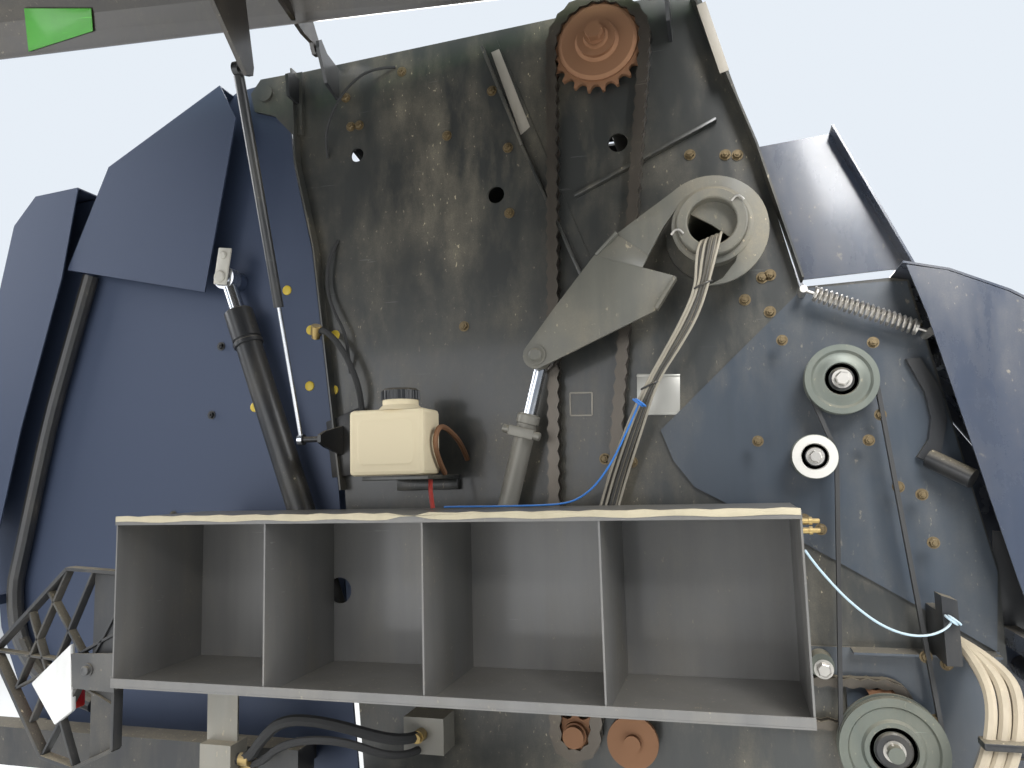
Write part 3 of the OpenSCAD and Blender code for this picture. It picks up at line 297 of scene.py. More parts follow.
def wear_group() -> Tree:
    """Build the group of scratches, rust spots and grime streaks.

    Returns:
        A group with Scratches, Rust and Streaks masks and a Height of fine unevenness.
    """
    if "field_wear" in bpy.data.node_groups:
        return bpy.data.node_groups["field_wear"]
    tree, took, gives, at = opened_group("field_wear", {"Rust Amount": 0.1, "Scratch Amount": 0.3},
                                         ("Scratches", "Rust", "Streaks", "Height"))
    long_marks = ramp(tree, noise(tree, at, 14.0, 3.0, (0.4, 1.0, 7.0)), 0.70, 0.73)
    broken = ramp(tree, noise(tree, at, 5.0, 2.0), 0.45, 0.6)
    scratches = combine(tree, "MULTIPLY", combine(tree, "MULTIPLY", long_marks, broken),
                        took.outputs["Scratch Amount"])
    tree.links.new(scratches, gives.inputs["Scratches"])
    blotch = noise(tree, at, 11.0, 8.0, roughness=0.7)
    edge = combine(tree, "SUBTRACT", 0.86, combine(tree, "MULTIPLY", took.outputs["Rust Amount"], 0.5))
    rust = ramp(tree, blotch, edge, combine(tree, "ADD", edge, 0.08))
    tree.links.new(rust, gives.inputs["Rust"])
    streaks = ramp(tree, noise(tree, at, 16.0, 4.0, (1.0, 1.0, 0.08)), 0.42, 0.8)
    tree.links.new(streaks, gives.inputs["Streaks"])
    tree.links.new(noise(tree, at, 42.0, 6.0), gives.inputs["Height"])
    return tree


@dataclass(frozen=True)
class Finish:
    """A painted, plated or moulded surface after seasons in the field."""

    name: str
    base: Point
    roughness: float
    metallic: float = 0.0
    coat: float = 0.0
    dust: float = 0.4
    ledges: float = 0.7
    rust: float = 0.0
    scratches: float = 0.3
    bump: float = 0.05
    dust_tint: Point = (0.33, 0.28, 0.19)
    rust_tint: Point = (0.19, 0.075, 0.03)
    streaks: float = 0.15
    inside: Point | None = None
    inside_tint: Point = (0.022, 0.017, 0.013)

    def material(self) -> bpy.types.Material:
        """Build the finish's material once.

        Returns:
            The material.
        """
        if self.name in bpy.data.materials:
            return bpy.data.materials[self.name]
        made = bpy.data.materials.new(self.name)
        made.use_nodes = True
        tree = made.node_tree
        shader = tree.nodes["Principled BSDF"]
        shader.inputs["Coat Weight"].default_value = self.coat
        shader.inputs["Coat Roughness"].default_value = COAT_ROUGHNESS
        dust = new_node(tree, "ShaderNodeGroup", node_tree=dust_group())
        dust.inputs["Amount"].default_value = self.dust
        dust.inputs["On Ledges"].default_value = self.ledges
        wear = new_node(tree, "ShaderNodeGroup", node_tree=wear_group())
        wear.inputs["Rust Amount"].default_value = self.rust
        wear.inputs["Scratch Amount"].default_value = self.scratches
        streaks = combine(tree, "MULTIPLY", wear.outputs["Streaks"], self.streaks * STREAK_GAIN)
        layers = [(tuple(c * STREAK_SHADE for c in self.base), streaks),
                  (tuple(min(1.0, c * SCRATCH_GAIN + SCRATCH_LIFT) for c in self.base),
                   wear.outputs["Scratches"])]
        if self.inside is not None:
            layers.append((self.inside_tint, self.bare_side(tree)))
        if self.rust > 0:
            layers.append((self.rust_tint, wear.outputs["Rust"]))
        layers += [(self.dust_tint, dust.outputs["Mask"]),
                   (tuple(c * CHAFF_GAIN for c in self.dust_tint), dust.outputs["Specks"])]
        colour = self.base
        for tint, mask in layers:
            colour = self.mixed(tree, colour, tint, mask)
        tree.links.new(colour, shader.inputs["Base Color"])
        rough = ramp(tree, dust.outputs["Mask"], 0.0, 0.7, self.roughness, DUSTY_ROUGHNESS)
        rusty = combine(tree, "MULTIPLY", wear.outputs["Rust"], RUSTY_ROUGHNESS)
        tree.links.new(combine(tree, "MAXIMUM", rough, rusty), shader.inputs["Roughness"])
        if self.metallic > 0:
            hidden = combine(tree, "MAXIMUM", dust.outputs["Mask"], wear.outputs["Rust"])
            tree.links.new(ramp(tree, hidden, 0.0, 0.8, self.metallic, 0.0), shader.inputs["Metallic"])
        bump = new_node(tree, "ShaderNodeBump")
        bump.inputs["Strength"].default_value = self.bump
        bump.inputs["Distance"].default_value = BUMP_M
        tree.links.new(combine(tree, "ADD", wear.outputs["Height"], dust.outputs["Mask"]),
                       bump.inputs["Height"])
        tree.links.new(bump.outputs["Normal"], shader.inputs["Normal"])
        return made

    def bare_side(self, tree: Tree) -> Socket:
        """Mark the bare inner side of a moulding and its black swing arms.

        Args:
            tree: The material's tree.

        Returns:
            A mask that is 1 on the inner side and on the arms.
        """
        spots = new_node(tree, "ShaderNodeTexCoord")
        facing = new_node(tree, "ShaderNodeVectorMath", operation="DOT_PRODUCT")
        tree.links.new(spots.outputs["Normal"], facing.inputs[0])
        facing.inputs[1].default_value = self.inside
        inner = ramp(tree, facing.outputs["Value"], 0.02, 0.12)
        not_outer = ramp(tree, facing.outputs["Value"], -0.75, -0.65)
        split = new_node(tree, "ShaderNodeSeparateXYZ")
        tree.links.new(spots.outputs["Object"], split.inputs[0])
        mask = inner
        for arm_x in COVER_ARM_X:
            offset = combine(tree, "SUBTRACT", split.outputs["X"], mm(arm_x - EYE_X))
            near = combine(tree, "LESS_THAN", combine(tree, "ABSOLUTE", offset, 0.0), COVER_ARM_HALF_M)
            mask = combine(tree, "MAXIMUM", mask, combine(tree, "MULTIPLY", near, not_outer))
        return mask

    @staticmethod
    def mixed(tree: Tree, under: Socket | Point, over: Point, mask: Socket) -> Socket:
        """Lay one colour over another by a mask.

        Args:
            tree: Tree that takes the node.
            under: Colour below, or its socket.
            over: Colour on top.
            mask: Share of the colour on top.

        Returns:
            The mixed colour's socket.
        """
        node = new_node(tree, "ShaderNodeMix", data_type="RGBA")
        if isinstance(under, Socket):
            tree.links.new(under, node.inputs[6])
        else:
            node.inputs[6].default_value = (*under, 1.0)
        node.inputs[7].default_value = (*over, 1.0)
        tree.links.new(mask, node.inputs[0])
        return node.outputs[2]


CHAMBER_PAINT = Finish("chamber_paint", (0.034, 0.036, 0.034), 0.34, coat=0.3, dust=0.75, rust=0.12,
                       scratches=0.5)
# Panel, drive and hood paints: the real paint is near-black; the blue tint and part of the lightness of these
# base colours are painted sky reflection.
PANEL_PAINT_SKY_REFLECTION = Finish("panel_paint", (0.078, 0.098, 0.128), 0.22, coat=0.7, dust=0.26, scratches=0.25)
DRIVE_PAINT_SKY_REFLECTION = Finish("drive_paint_sky_reflection", (0.046, 0.058, 0.074), 0.3, coat=0.4, dust=0.35, rust=0.1)
HOOD_PAINT_SKY_REFLECTION = Finish("hood_paint_sky_reflection", (0.036, 0.046, 0.070), 0.26, coat=0.5, dust=0.3)
TRAY_PAINT = Finish("tray_paint", (0.140, 0.137, 0.131), 0.36, coat=0.2, dust=0.4, ledges=0.15, rust=0.08)
ARM_PAINT = Finish("arm_paint", (0.125, 0.123, 0.104), 0.42, dust=0.9, ledges=1.0)
SATIN_BLACK = Finish("satin_black", (0.016, 0.017, 0.019), 0.38, coat=0.2, dust=0.3)
RUSTY_STEEL = Finish("rusty_steel", (0.046, 0.034, 0.027), 0.5, metallic=0.4, dust=0.2, ledges=0.4, rust=0.7,
                     bump=0.15, rust_tint=(0.062, 0.036, 0.022))
OILED_CHAIN = Finish("oiled_chain", (0.105, 0.092, 0.078), 0.34, metallic=0.8, dust=0.25, rust=0.45,
                     bump=0.12, rust_tint=(0.07, 0.04, 0.024))
BARE_STEEL = Finish("bare_steel", (0.17, 0.165, 0.15), 0.42, metallic=0.6, dust=0.35, rust=0.25)
DULL_STEEL = Finish("dull_steel", (0.10, 0.10, 0.10), 0.45, metallic=0.6, dust=0.4, rust=0.25)
HARD_CHROME = Finish("hard_chrome", (0.62, 0.64, 0.68), 0.12, metallic=1.0, dust=0.25, ledges=0.3, bump=0.01)
BELT_RUBBER = Finish("belt_rubber", (0.022, 0.022, 0.022), 0.7, dust=0.5, bump=0.3)
TYRE_RUBBER = Finish("tyre_rubber", (0.022, 0.022, 0.022), 0.8, dust=0.7, bump=0.3)
HOSE_RUBBER = Finish("hose_rubber", (0.018, 0.018, 0.019), 0.5, dust=0.3)
WHEEL_PAINT = Finish("wheel_paint", (0.55, 0.53, 0.47), 0.4, coat=0.2, dust=0.5, rust=0.15)
CARRIER_PLASTIC = Finish("carrier_plastic", (0.030, 0.031, 0.033), 0.5, dust=0.5, ledges=0.9)
BOTTLE_PLASTIC = Finish("bottle_plastic", (0.50, 0.42, 0.31), 0.38, dust=0.2, scratches=0.1,
                        dust_tint=(0.25, 0.17, 0.09))
WIRE_SHEATH = Finish("wire_sheath", (0.33, 0.30, 0.24), 0.6, dust=0.5)
COVER_SKIN = Finish("raised_cover_skin", (0.055, 0.36, 0.022), 0.3, coat=0.5, dust=0.45,
                    inside=(0.0, 0.0, -1.0))
CLOSED_COVER_SKIN = Finish("closed_cover_skin", (0.055, 0.36, 0.022), 0.3, coat=0.5, dust=0.3,
                           inside=(0.0, -1.0, -0.2))

DARK_SHEATH = Finish("dark_sheath", (0.06, 0.058, 0.052), 0.55, dust=0.4)
RED_HOSE = Finish("red_hose", (0.42, 0.03, 0.02), 0.4, dust=0.2)
PALE_HOSE = Finish("pale_hose", (0.40, 0.34, 0.25), 0.6, dust=0.45, streaks=0.3)
PULLEY_ZINC = Finish("pulley_zinc", (0.13, 0.145, 0.125), 0.45, metallic=0.45, dust=0.5, rust=0.3)
PALE_SHEET = Finish("pale_sheet", (0.36, 0.33, 0.28), 0.5, dust=0.6, rust=0.1)
BRIGHT_PLATE = Finish("bright_plate", (0.48, 0.47, 0.43), 0.35, metallic=0.5, dust=0.35, scratches=0.6)
SEAL_FOAM = Finish("seal_foam", (0.50, 0.44, 0.31), 0.8, dust=0.3, bump=0.2)
BRASS = Finish("brass", (0.42, 0.30, 0.12), 0.35, metallic=0.8, dust=0.35, rust=0.1)
WHITE_LENS = Finish("white_lens", (0.70, 0.70, 0.68), 0.3, coat=0.5, dust=0.25)
RED_LENS = Finish("red_lens", (0.42, 0.012, 0.010), 0.15, coat=0.8, dust=0.2)
CYLINDER_GREY = Finish("cylinder_grey", (0.24, 0.23, 0.20), 0.4, metallic=0.3, dust=0.4, rust=0.2)
WHITE_LINK = Finish("white_link", (0.50, 0.48, 0.42), 0.45, dust=0.35, rust=0.25)
GREEN_TAB = Finish("green_tab", (0.055, 0.38, 0.022), 0.3, coat=0.5, dust=0.2)
PALE_TWINE = Finish("pale_twine", (0.40, 0.52, 0.60), 0.6, dust=0.15, bump=0.3)
BOLT_PLATING = Finish("bolt_plating", (0.17, 0.125, 0.065), 0.42, metallic=0.6, dust=0.4, rust=0.3)
YELLOW_CAP = Finish("yellow_cap", (0.62, 0.45, 0.04), 0.4, dust=0.25)
BLUE_TWINE = Finish("blue_twine", (0.03, 0.20, 0.62), 0.6, dust=0.15, bump=0.3)

NODES_BY_FINISH: tuple[tuple[Finish, str], ...] = (
    (CHAMBER_PAINT, "side_plate_right side_plate_left side_ribs cross_beams axle"),
    (DRIVE_PAINT_SKY_REFLECTION, "drive_plate"),
    (HOOD_PAINT_SKY_REFLECTION, "corner_guards front_hood drawbar gearbox pickup_frame"),
    (SATIN_BLACK, "pto_shaft lever_linkage cover_hinges gate_frame gate_barrels strut_barrel_right "
                  "strut_barrel_left"),
    (TRAY_PAINT, "tray_right tray_left"),
    (CARRIER_PLASTIC, "lamp_carriers"),
    (BOTTLE_PLASTIC, "oil_bottle"),
    (RUSTY_STEEL, "sprockets"),
    (OILED_CHAIN, "main_chain lower_chain"),
    (PULLEY_ZINC, "pulleys"),
    (BELT_RUBBER, "cogged_belts chamber_belts gate_belts"),
    (BARE_STEEL, "coil_spring chamber_rollers pickup_bands windguard gate_rollers parking_jack"),
    (CYLINDER_GREY, "valve_block arm_barrels"),
    (HOSE_RUBBER, "frame_hoses"),
    (WIRE_SHEATH, "wire_bundle"),
    (DULL_STEEL, "feed_rotor pickup_reel"),
    (TYRE_RUBBER, "gauge_wheel_right gauge_wheel_left tyre_right tyre_left"),
    (ARM_PAINT, "tension_arms"),
    (HARD_CHROME, "arm_rods gate_rods strut_rod_right strut_rod_left"),
    (PANEL_PAINT_SKY_REFLECTION, "gate_plates gate_shrouds gate_rear_cover"),
    (COVER_SKIN, "cover_right"),
    (CLOSED_COVER_SKIN, "cover_left"),
    (WHEEL_PAINT, "rim_right rim_left"),
)


def dress_nodes(nodes: dict[str, Piece]) -> None:
    """Give every node of the frame its finish.

    Args:
        nodes: The frame's objects by node name.
    """
    for finish, names in NODES_BY_FINISH:
        for name in names.split():
            nodes[name].data.materials.clear()
            nodes[name].data.materials.append(finish.material())


class Bench:
    """Hand tools that shape one mesh at a time with Blender's own operators."""

    @staticmethod
    def clear() -> None:
        """Leave edit mode and deselect everything."""
        if bpy.context.object is not None and bpy.context.object.mode != "OBJECT":
            bpy.ops.object.mode_set(mode="OBJECT")
        bpy.ops.object.select_all(action="DESELECT")

    @staticmethod
    def take(piece: Piece) -> None:
        """Make one piece the only one that is selected.

        Args:
            piece: The piece to select.
        """
        Bench.clear()
        piece.select_set(True)
        bpy.context.view_layer.objects.active = piece

    @staticmethod
    def drawn(points: Sequence[Vector]) -> Piece:
        """Draw a row of edges through points and stay in edit mode.

        Args:
            points: Corners in the frame, in metres.

        Returns:
            The object with the row of edges.
        """
        Bench.clear()
        bpy.ops.mesh.primitive_plane_add(size=0.1, location=(0.0, 0.0, 0.0))
        bpy.ops.object.mode_set(mode="EDIT")
        bpy.ops.mesh.select_mode(type="VERT")
        bpy.ops.mesh.select_all(action="SELECT")
        bpy.ops.mesh.merge(type="CENTER")
        bpy.ops.transform.translate(value=points[0])
        for here, there in zip(points, points[1:]):
            bpy.ops.mesh.extrude_vertices_move(TRANSFORM_OT_translate={"value": there - here})
        bpy.ops.mesh.select_all(action="SELECT")
        return bpy.context.object

    @staticmethod
    def finished(piece: Piece, edge: float = 0.0) -> Piece:
        """Close a mesh, turn its faces out, and break its sharp edges.

        Args:
            piece: Mesh to finish.
            edge: Width of the broken edges in millimetres, 0 for none.

        Returns:
            The same piece.
        """
        bpy.ops.object.mode_set(mode="EDIT")
        bpy.ops.mesh.select_all(action="SELECT")
        bpy.ops.mesh.remove_doubles(threshold=WELD_M)
        bpy.ops.mesh.normals_make_consistent(inside=False)
        bpy.ops.object.mode_set(mode="OBJECT")
        if edge > 0:
            broken = piece.modifiers.new("broken_edges", "BEVEL")
            broken.width = mm(edge)
            broken.segments = 2
            broken.limit_method = "ANGLE"
            bpy.ops.object.modifier_apply(modifier="broken_edges")
        bpy.ops.object.shade_smooth_by_angle(angle=SMOOTH_BELOW)
        return piece

    @staticmethod
    def sheet(outline: Sequence[Vector], push: Vector, edge: float = 0.8) -> Piece:
        """Cut a sheet to an outline and give it its thickness.

        Args:
            outline: Corners of the sheet, in metres.
            push: Direction and depth of its thickness, in metres.
            edge: Width of the broken edges in millimetres.

        Returns:
            The sheet.
        """
        cut = Bench.drawn(outline)
        bpy.ops.mesh.edge_face_add()
        bpy.ops.mesh.extrude_region_move(TRANSFORM_OT_translate={"value": push})
        return Bench.finished(cut, edge)

    @staticmethod
    def flank(outline: Sequence[Spot], y: float, thick: float, edge: float = 0.8) -> Piece:
        """Cut a sheet that stands along the flank.

        Args:
            outline: Corners as (x, z) of the datum.
            y: Outer face of the sheet.
            thick: Its thickness, inwards.
            edge: Width of the broken edges.

        Returns:
            The sheet.
        """
        return Bench.sheet([place(x, y, z) for x, z in outline], Vector((0.0, mm(thick), 0.0)), edge)

    @staticmethod
    def bar(start: Spot, end: Spot, width: float, y: float, thick: float, edge: float = 0.8) -> Piece:
        """Cut a straight bar that stands along the flank.

        Args:
            start: Middle of one end as (x, z).
            end: Middle of the other end.
            width: Width across the bar.
            y: Its outer face.
            thick: Its thickness, inwards.
            edge: Width of the broken edges.

        Returns:
            The bar.
        """
        run_x, run_z = end[0] - start[0], end[1] - start[1]
        length = math.hypot(run_x, run_z)
        side_x, side_z = -run_z / length * width / 2, run_x / length * width / 2
        outline = [(start[0] + side_x, start[1] + side_z), (end[0] + side_x, end[1] + side_z),
                   (end[0] - side_x, end[1] - side_z), (start[0] - side_x, start[1] - side_z)]
        return Bench.flank(outline, y, thick, edge)

    @staticmethod
    def turned(profile: Sequence[Spot], centre: Point, axis: Point = (0.0, 1.0, 0.0),
               steps: int = 36) -> Piece:
        """Turn a piece on the lathe.

        Args:
            profile: Pairs of place along the axis and radius, in millimetres.
            centre: Start of the axis in the datum.
            axis: Its direction.
            steps: Facets round it.

        Returns:
            The turned piece.
        """
        along = Vector(axis).normalized()
        across = along.orthogonal().normalized()
        foot = place(*centre)
        made = Bench.drawn([foot + along * mm(a) + across * mm(r) for a, r in profile])
        bpy.ops.mesh.spin(steps=steps, angle=math.tau, center=foot, axis=along)
        return Bench.finished(made)

    @staticmethod
    def run(points: Sequence[Point], radius: float, fine: int = 6, as_curve: bool = False) -> Piece:
        """Bend a tube, hose or wire along points.

        Args:
            points: Route in the datum.
            radius: Radius of the tube.
            fine: Steps between two points.
            as_curve: True for a cord, which stays a curve.

        Returns:
            The tube.
        """
        Bench.clear()
        bpy.ops.curve.primitive_nurbs_path_add(location=(0.0, 0.0, 0.0))
        line = bpy.context.object
        line.data.splines.clear()
        route = line.data.splines.new("NURBS")
        route.points.add(len(points) - 1)
        for knot, point in zip(route.points, points):
            knot.co = (*place(*point), 1.0)
        route.order_u = 3
        route.use_endpoint_u = True
        line.data.resolution_u = fine
        line.data.bevel_depth = mm(radius)
        line.data.bevel_resolution = 2
        line.data.use_fill_caps = True
        if as_curve:
            return line
        bpy.ops.object.convert(target="MESH")
        return Bench.finished(bpy.context.object)

    @staticmethod
    def block(low: Point, high: Point, edge: float = 2.0) -> Piece:
        """Mill a block.

        Args:
            low: Lowest corner in the datum.
            high: Highest corner.
            edge: Width of the broken edges.

        Returns:
            The block.
        """
        Bench.clear()
        middle = [(a + b) / 2 for a, b in zip(low, high)]
        bpy.ops.mesh.primitive_cube_add(size=1.0, location=place(*middle))
        made = bpy.context.object
        made.scale = [mm(b - a) for a, b in zip(low, high)]
        bpy.ops.object.transform_apply(location=True, rotation=True, scale=True)
        return Bench.finished(made, edge)

    @staticmethod
    def joined(parts: Sequence[Piece]) -> Piece:
        """Weld several meshes into one.

        Args:
            parts: The meshes.

        Returns:
            The first one, with the others in it.
        """
        Bench.take(parts[0])
        for part in parts:
            part.select_set(True)
        if len(parts) > 1:
            bpy.ops.object.join()
        return parts[0]

    @staticmethod
    def copies(pattern: Piece, places: Sequence[Point]) -> Piece:
        """Copy a pattern made at the datum's origin to several places and weld the copies.

        Args:
            pattern: Piece made round the datum's origin.
            places: Places of the copies in the datum.

        Returns:
            All copies as one piece.
        """
        start = place(0.0, 0.0, 0.0)
        parts = []
        for point in places:
            Bench.take(pattern)
            bpy.ops.object.duplicate(linked=False)
            copy = bpy.context.object
            copy.location = place(*point) - start
            bpy.ops.object.transform_apply(location=True, rotation=True, scale=True)
            parts.append(copy)
        Bench.take(pattern)
        bpy.ops.object.delete()
        return Bench.joined(parts)

    @staticmethod
    def both_flanks(piece: Piece) -> Piece:
        """Mirror a piece to the machine's other flank.

        Args:
            piece: Mesh on the right flank.

        Returns:
            The same mesh, on both flanks.
        """
        Bench.take(piece)
        other = piece.modifiers.new("other_flank", "MIRROR")
        other.use_axis = (False, True, False)
        other.use_mirror_merge = False
        bpy.ops.object.modifier_apply(modifier="other_flank")
        return piece

    @staticmethod
    def fitted(piece: Piece, name: str, slot: Slot, finish: Finish, body: Body = Body.FRAME) -> Piece:
        """Name a piece, give it its finish, and hang it on its body.

        Args:
            piece: Finished mesh.
            name: The piece's name.
            slot: The record's material slot; not used.
            finish: Surface of the piece.
            body: Body of the frame that carries it.

        Returns:
            The same piece.
        """
        Bench.clear()
        piece.name = name
        piece.data.name = name
        piece.data.materials.clear()
        piece.data.materials.append(finish.material())
        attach(piece, body)
        log.info("%s rides on %s", name, body)
        return piece


def arc(centre: Spot, radius: float, turn_deg: Spot, steps: int) -> list[Spot]:
    """Points of an arc on the flank.

    Args:
        centre: Its centre as (x, z).
        radius: Its radius.
        turn_deg: First and last angle.
        steps: Chords along it.

    Returns:
        The points, both ends among them.
    """
    first, last = turn_deg
    turn = [math.radians(first + (last - first) * i / steps) for i in range(steps + 1)]
    return [(centre[0] + radius * math.cos(a), centre[1] + radius * math.sin(a)) for a in turn]


@dataclass
class TensionArms:
    """Belt tension arms: the cross tube and, on each flank, a hooked plate that steps down to the pin."""

    axis: Spot = (-16.0, 2187.0)
    pin: Spot = (-462.0, 1893.0)
    reach: float = 770.0
    tube_r: float = 83.0
    bore_r: float = 58.0
    chamfer: float = 3.0
    hook_y: float = -736.0
    low_y: float = -760.0
    sheet_t: float = 10.0
    hook_r: float = 137.0
    hook_centre: Spot = (-21.0, 2175.0)
    hook_turn: Spot = (130.0, -95.0)
    hook_start: tuple[Spot, ...] = ((-250, 2190), (-209, 2217))
    hook_mouth: tuple[Spot, ...] = ((1, 2053), (34, 2092), (46, 2132), (-16, 2187), (-97, 2241), (-135, 2192),
                                    (-156, 2156), (-172, 2128))
    step_high: tuple[Spot, ...] = ((-250, 2190), (-172, 2128))
    step_low: tuple[Spot, ...] = ((-186, 2092), (-306, 2133))
    low_edge: tuple[Spot, ...] = ((-160, 1982), (-109, 2063), (-186, 2092), (-306, 2133), (-405, 2017))
    tip_r: float = 34.0
    tip_turn: Spot = (139.5, 287.0)
    folds: tuple[Bar, ...] = (((-109, 2060), (-158, 1986), 8.0, -768.0, 28.0),
                              ((-246, 2187), (-300, 2136), 7.0, -762.0, 30.0))
    ring: tuple[Spot, ...] = ((0, 84), (0, 89), (6, 97), (9, 97), (9, 84), (0, 84))
    boss: tuple[Spot, ...] = ((0, 0), (0, 34), (26, 34), (26, 0))
    head: tuple[Spot, ...] = ((0, 0), (0, 13), (3, 17), (6, 17), (6, 20), (9, 20), (9, 26), (14, 26), (14, 0))
    clip: Route = (((-14, 0, -6), (-8, -3, 2), (0, -4, 5), (8, -3, 2), (14, 0, -6)), 3.0)
    clips_at: tuple[Point, ...] = ((46.0, -772.0, 2235.0), (-98.0, -772.0, 2168.0))

    def build(self) -> None:
        """Weld the arms, put them in place of the plain ones, and clip the tube's mouth."""
        parts = [self.hook(), self.step(), self.low_plate(), *[Bench.bar(*fold) for fold in self.folds],
                 Bench.turned(self.boss, (self.pin[0], self.low_y + self.sheet_t, self.pin[1])),
                 Bench.turned(self.head, (self.pin[0], -self.reach - 4, self.pin[1])),
                 Bench.turned(self.ring, (self.axis[0], self.hook_y - 9, self.axis[1]), steps=56)]
        arms = Bench.joined([Bench.both_flanks(Bench.joined(parts)), self.tube()])
        Bench.fitted(arms, "arm_weldment", Slot.FRAME_PAINT, ARM_PAINT, Body.ARMS)
        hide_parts("tension_arms")
        clips = Bench.copies(Bench.run(*self.clip), self.clips_at)
        Bench.fitted(clips, "bore_clips", Slot.BARE_STEEL, BARE_STEEL, Body.ARMS)

    def tube(self) -> Piece:
        """Turn the cross tube with chamfered ends.

        Returns:
            The tube.
        """
        r, bore, full, cut = self.tube_r, self.bore_r, 2 * self.reach, self.chamfer
        profile = [(cut, r), (full - cut, r), (full, r - cut), (full, bore + cut), (full - cut, bore),
                   (cut, bore), (0, bore + cut), (0, r - cut), (cut, r)]
        return Bench.turned(profile, (self.axis[0], -self.reach, self.axis[1]), steps=64)

    def hook(self) -> Piece:
        """Cut the plate that wraps the tube and opens below it.

        Returns:
            The plate.
        """
        round_edge = arc(self.hook_centre, self.hook_r, self.hook_turn, 30)
        return Bench.flank([*self.hook_start, *round_edge, *self.hook_mouth], self.hook_y, self.sheet_t)

    def step(self) -> Piece:
        """Cut the sloping step between the hooked plate and the low plate.

        Returns:
            The step.
        """
        corners = [place(x, self.hook_y, z) for x, z in self.step_high]
        corners += [place(x, self.low_y, z) for x, z in self.step_low]
        return Bench.sheet(corners, Vector((0.0, mm(self.sheet_t), 0.0)))

    def low_plate(self) -> Piece:
        """Cut the long plate that tapers to the cylinder's pin.

        Returns:
            The plate.
        """
        return Bench.flank([*self.low_edge, *arc(self.pin, self.tip_r, self.tip_turn, 14)], self.low_y,
                           self.sheet_t)


@dataclass
class WireRuns:
    """Sheathed wires that leave the arm's tube, tied together down to the tray's back."""

    route: tuple[Point, ...] = (
        (-16, -735, 2156), (-20, -768, 2150), (-30, -792, 2100), (-46, -794, 2026), (-76, -790, 1955),
        (-118, -782, 1890), (-180, -768, 1800), (-232, -742, 1690), (-290, -706, 1545), (-316, -706, 1450))
    count: int = 13
    colour_turn: tuple[bool, ...] = (True, False, True, True, False)
    wire_r: float = 3.4
    spread_at_mouth: float = 40.0
    spread_at_tie: float = 30.0
    spread: Spot = (46.0, 7.0)
    layer: float = 5.0
    lean: float = 0.35
    tied_at: tuple[int, ...] = (3, 6)
    tie_reach: Point = (22.0, 11.0, 9.0)
    tie_r: float = 2.6

    def build(self) -> None:
        """Lay the wires and tie them."""
        order = len(self.colour_turn)
        pale = [self.wire(i) for i in range(self.count) if self.colour_turn[i % order]]
        dark = [self.wire(i) for i in range(self.count) if not self.colour_turn[i % order]]
        pale_piece = Bench.fitted(Bench.joined(pale), "pale_wires", Slot.WIRE_PLASTIC, WIRE_SHEATH)
        Bench.fitted(Bench.joined(dark), "dark_wires", Slot.WIRE_PLASTIC, DARK_SHEATH)
        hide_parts("wire_bundle")
        ties = Bench.joined([self.tie(at) for at in self.tied_at])
        Bench.fitted(ties, "wire_ties", Slot.WIRE_PLASTIC, SATIN_BLACK)

    def wire(self, number: int) -> Piece:
        """Lay one wire, spread a little from its neighbours.

        Args:
            number: Which wire.

        Returns:
            The wire.
        """
        share = number / (self.count - 1) - 0.5
        deep = self.layer * ((number * 7) % 3 - 1)
        points = []
        for i, (x, y, z) in enumerate(self.route):
            wide = self.spread[0] + self.spread[1] * math.sin(1.7 * number + 0.9 * i)
            if i in self.tied_at:
                wide = self.spread_at_tie
            elif i == 0:
                wide = self.spread_at_mouth
            points.append((x + share * wide, y + deep, z + share * wide * self.lean))
        return Bench.run(points, self.wire_r, 5)

    def tie(self, at: int) -> Piece:
        """Close a tie round all the wires.

        Args:
            at: Point of the route that it lies at.

        Returns:
            The tie.
        """
        x, y, z = self.route[at]
        wide, deep, high = self.tie_reach
        turns = [math.tau * i / 12 for i in range(13)]
        around = [(x + wide * math.cos(a), y + deep * math.sin(a), z + high * math.cos(a)) for a in turns]
        return Bench.run(around, self.tie_r, 3)


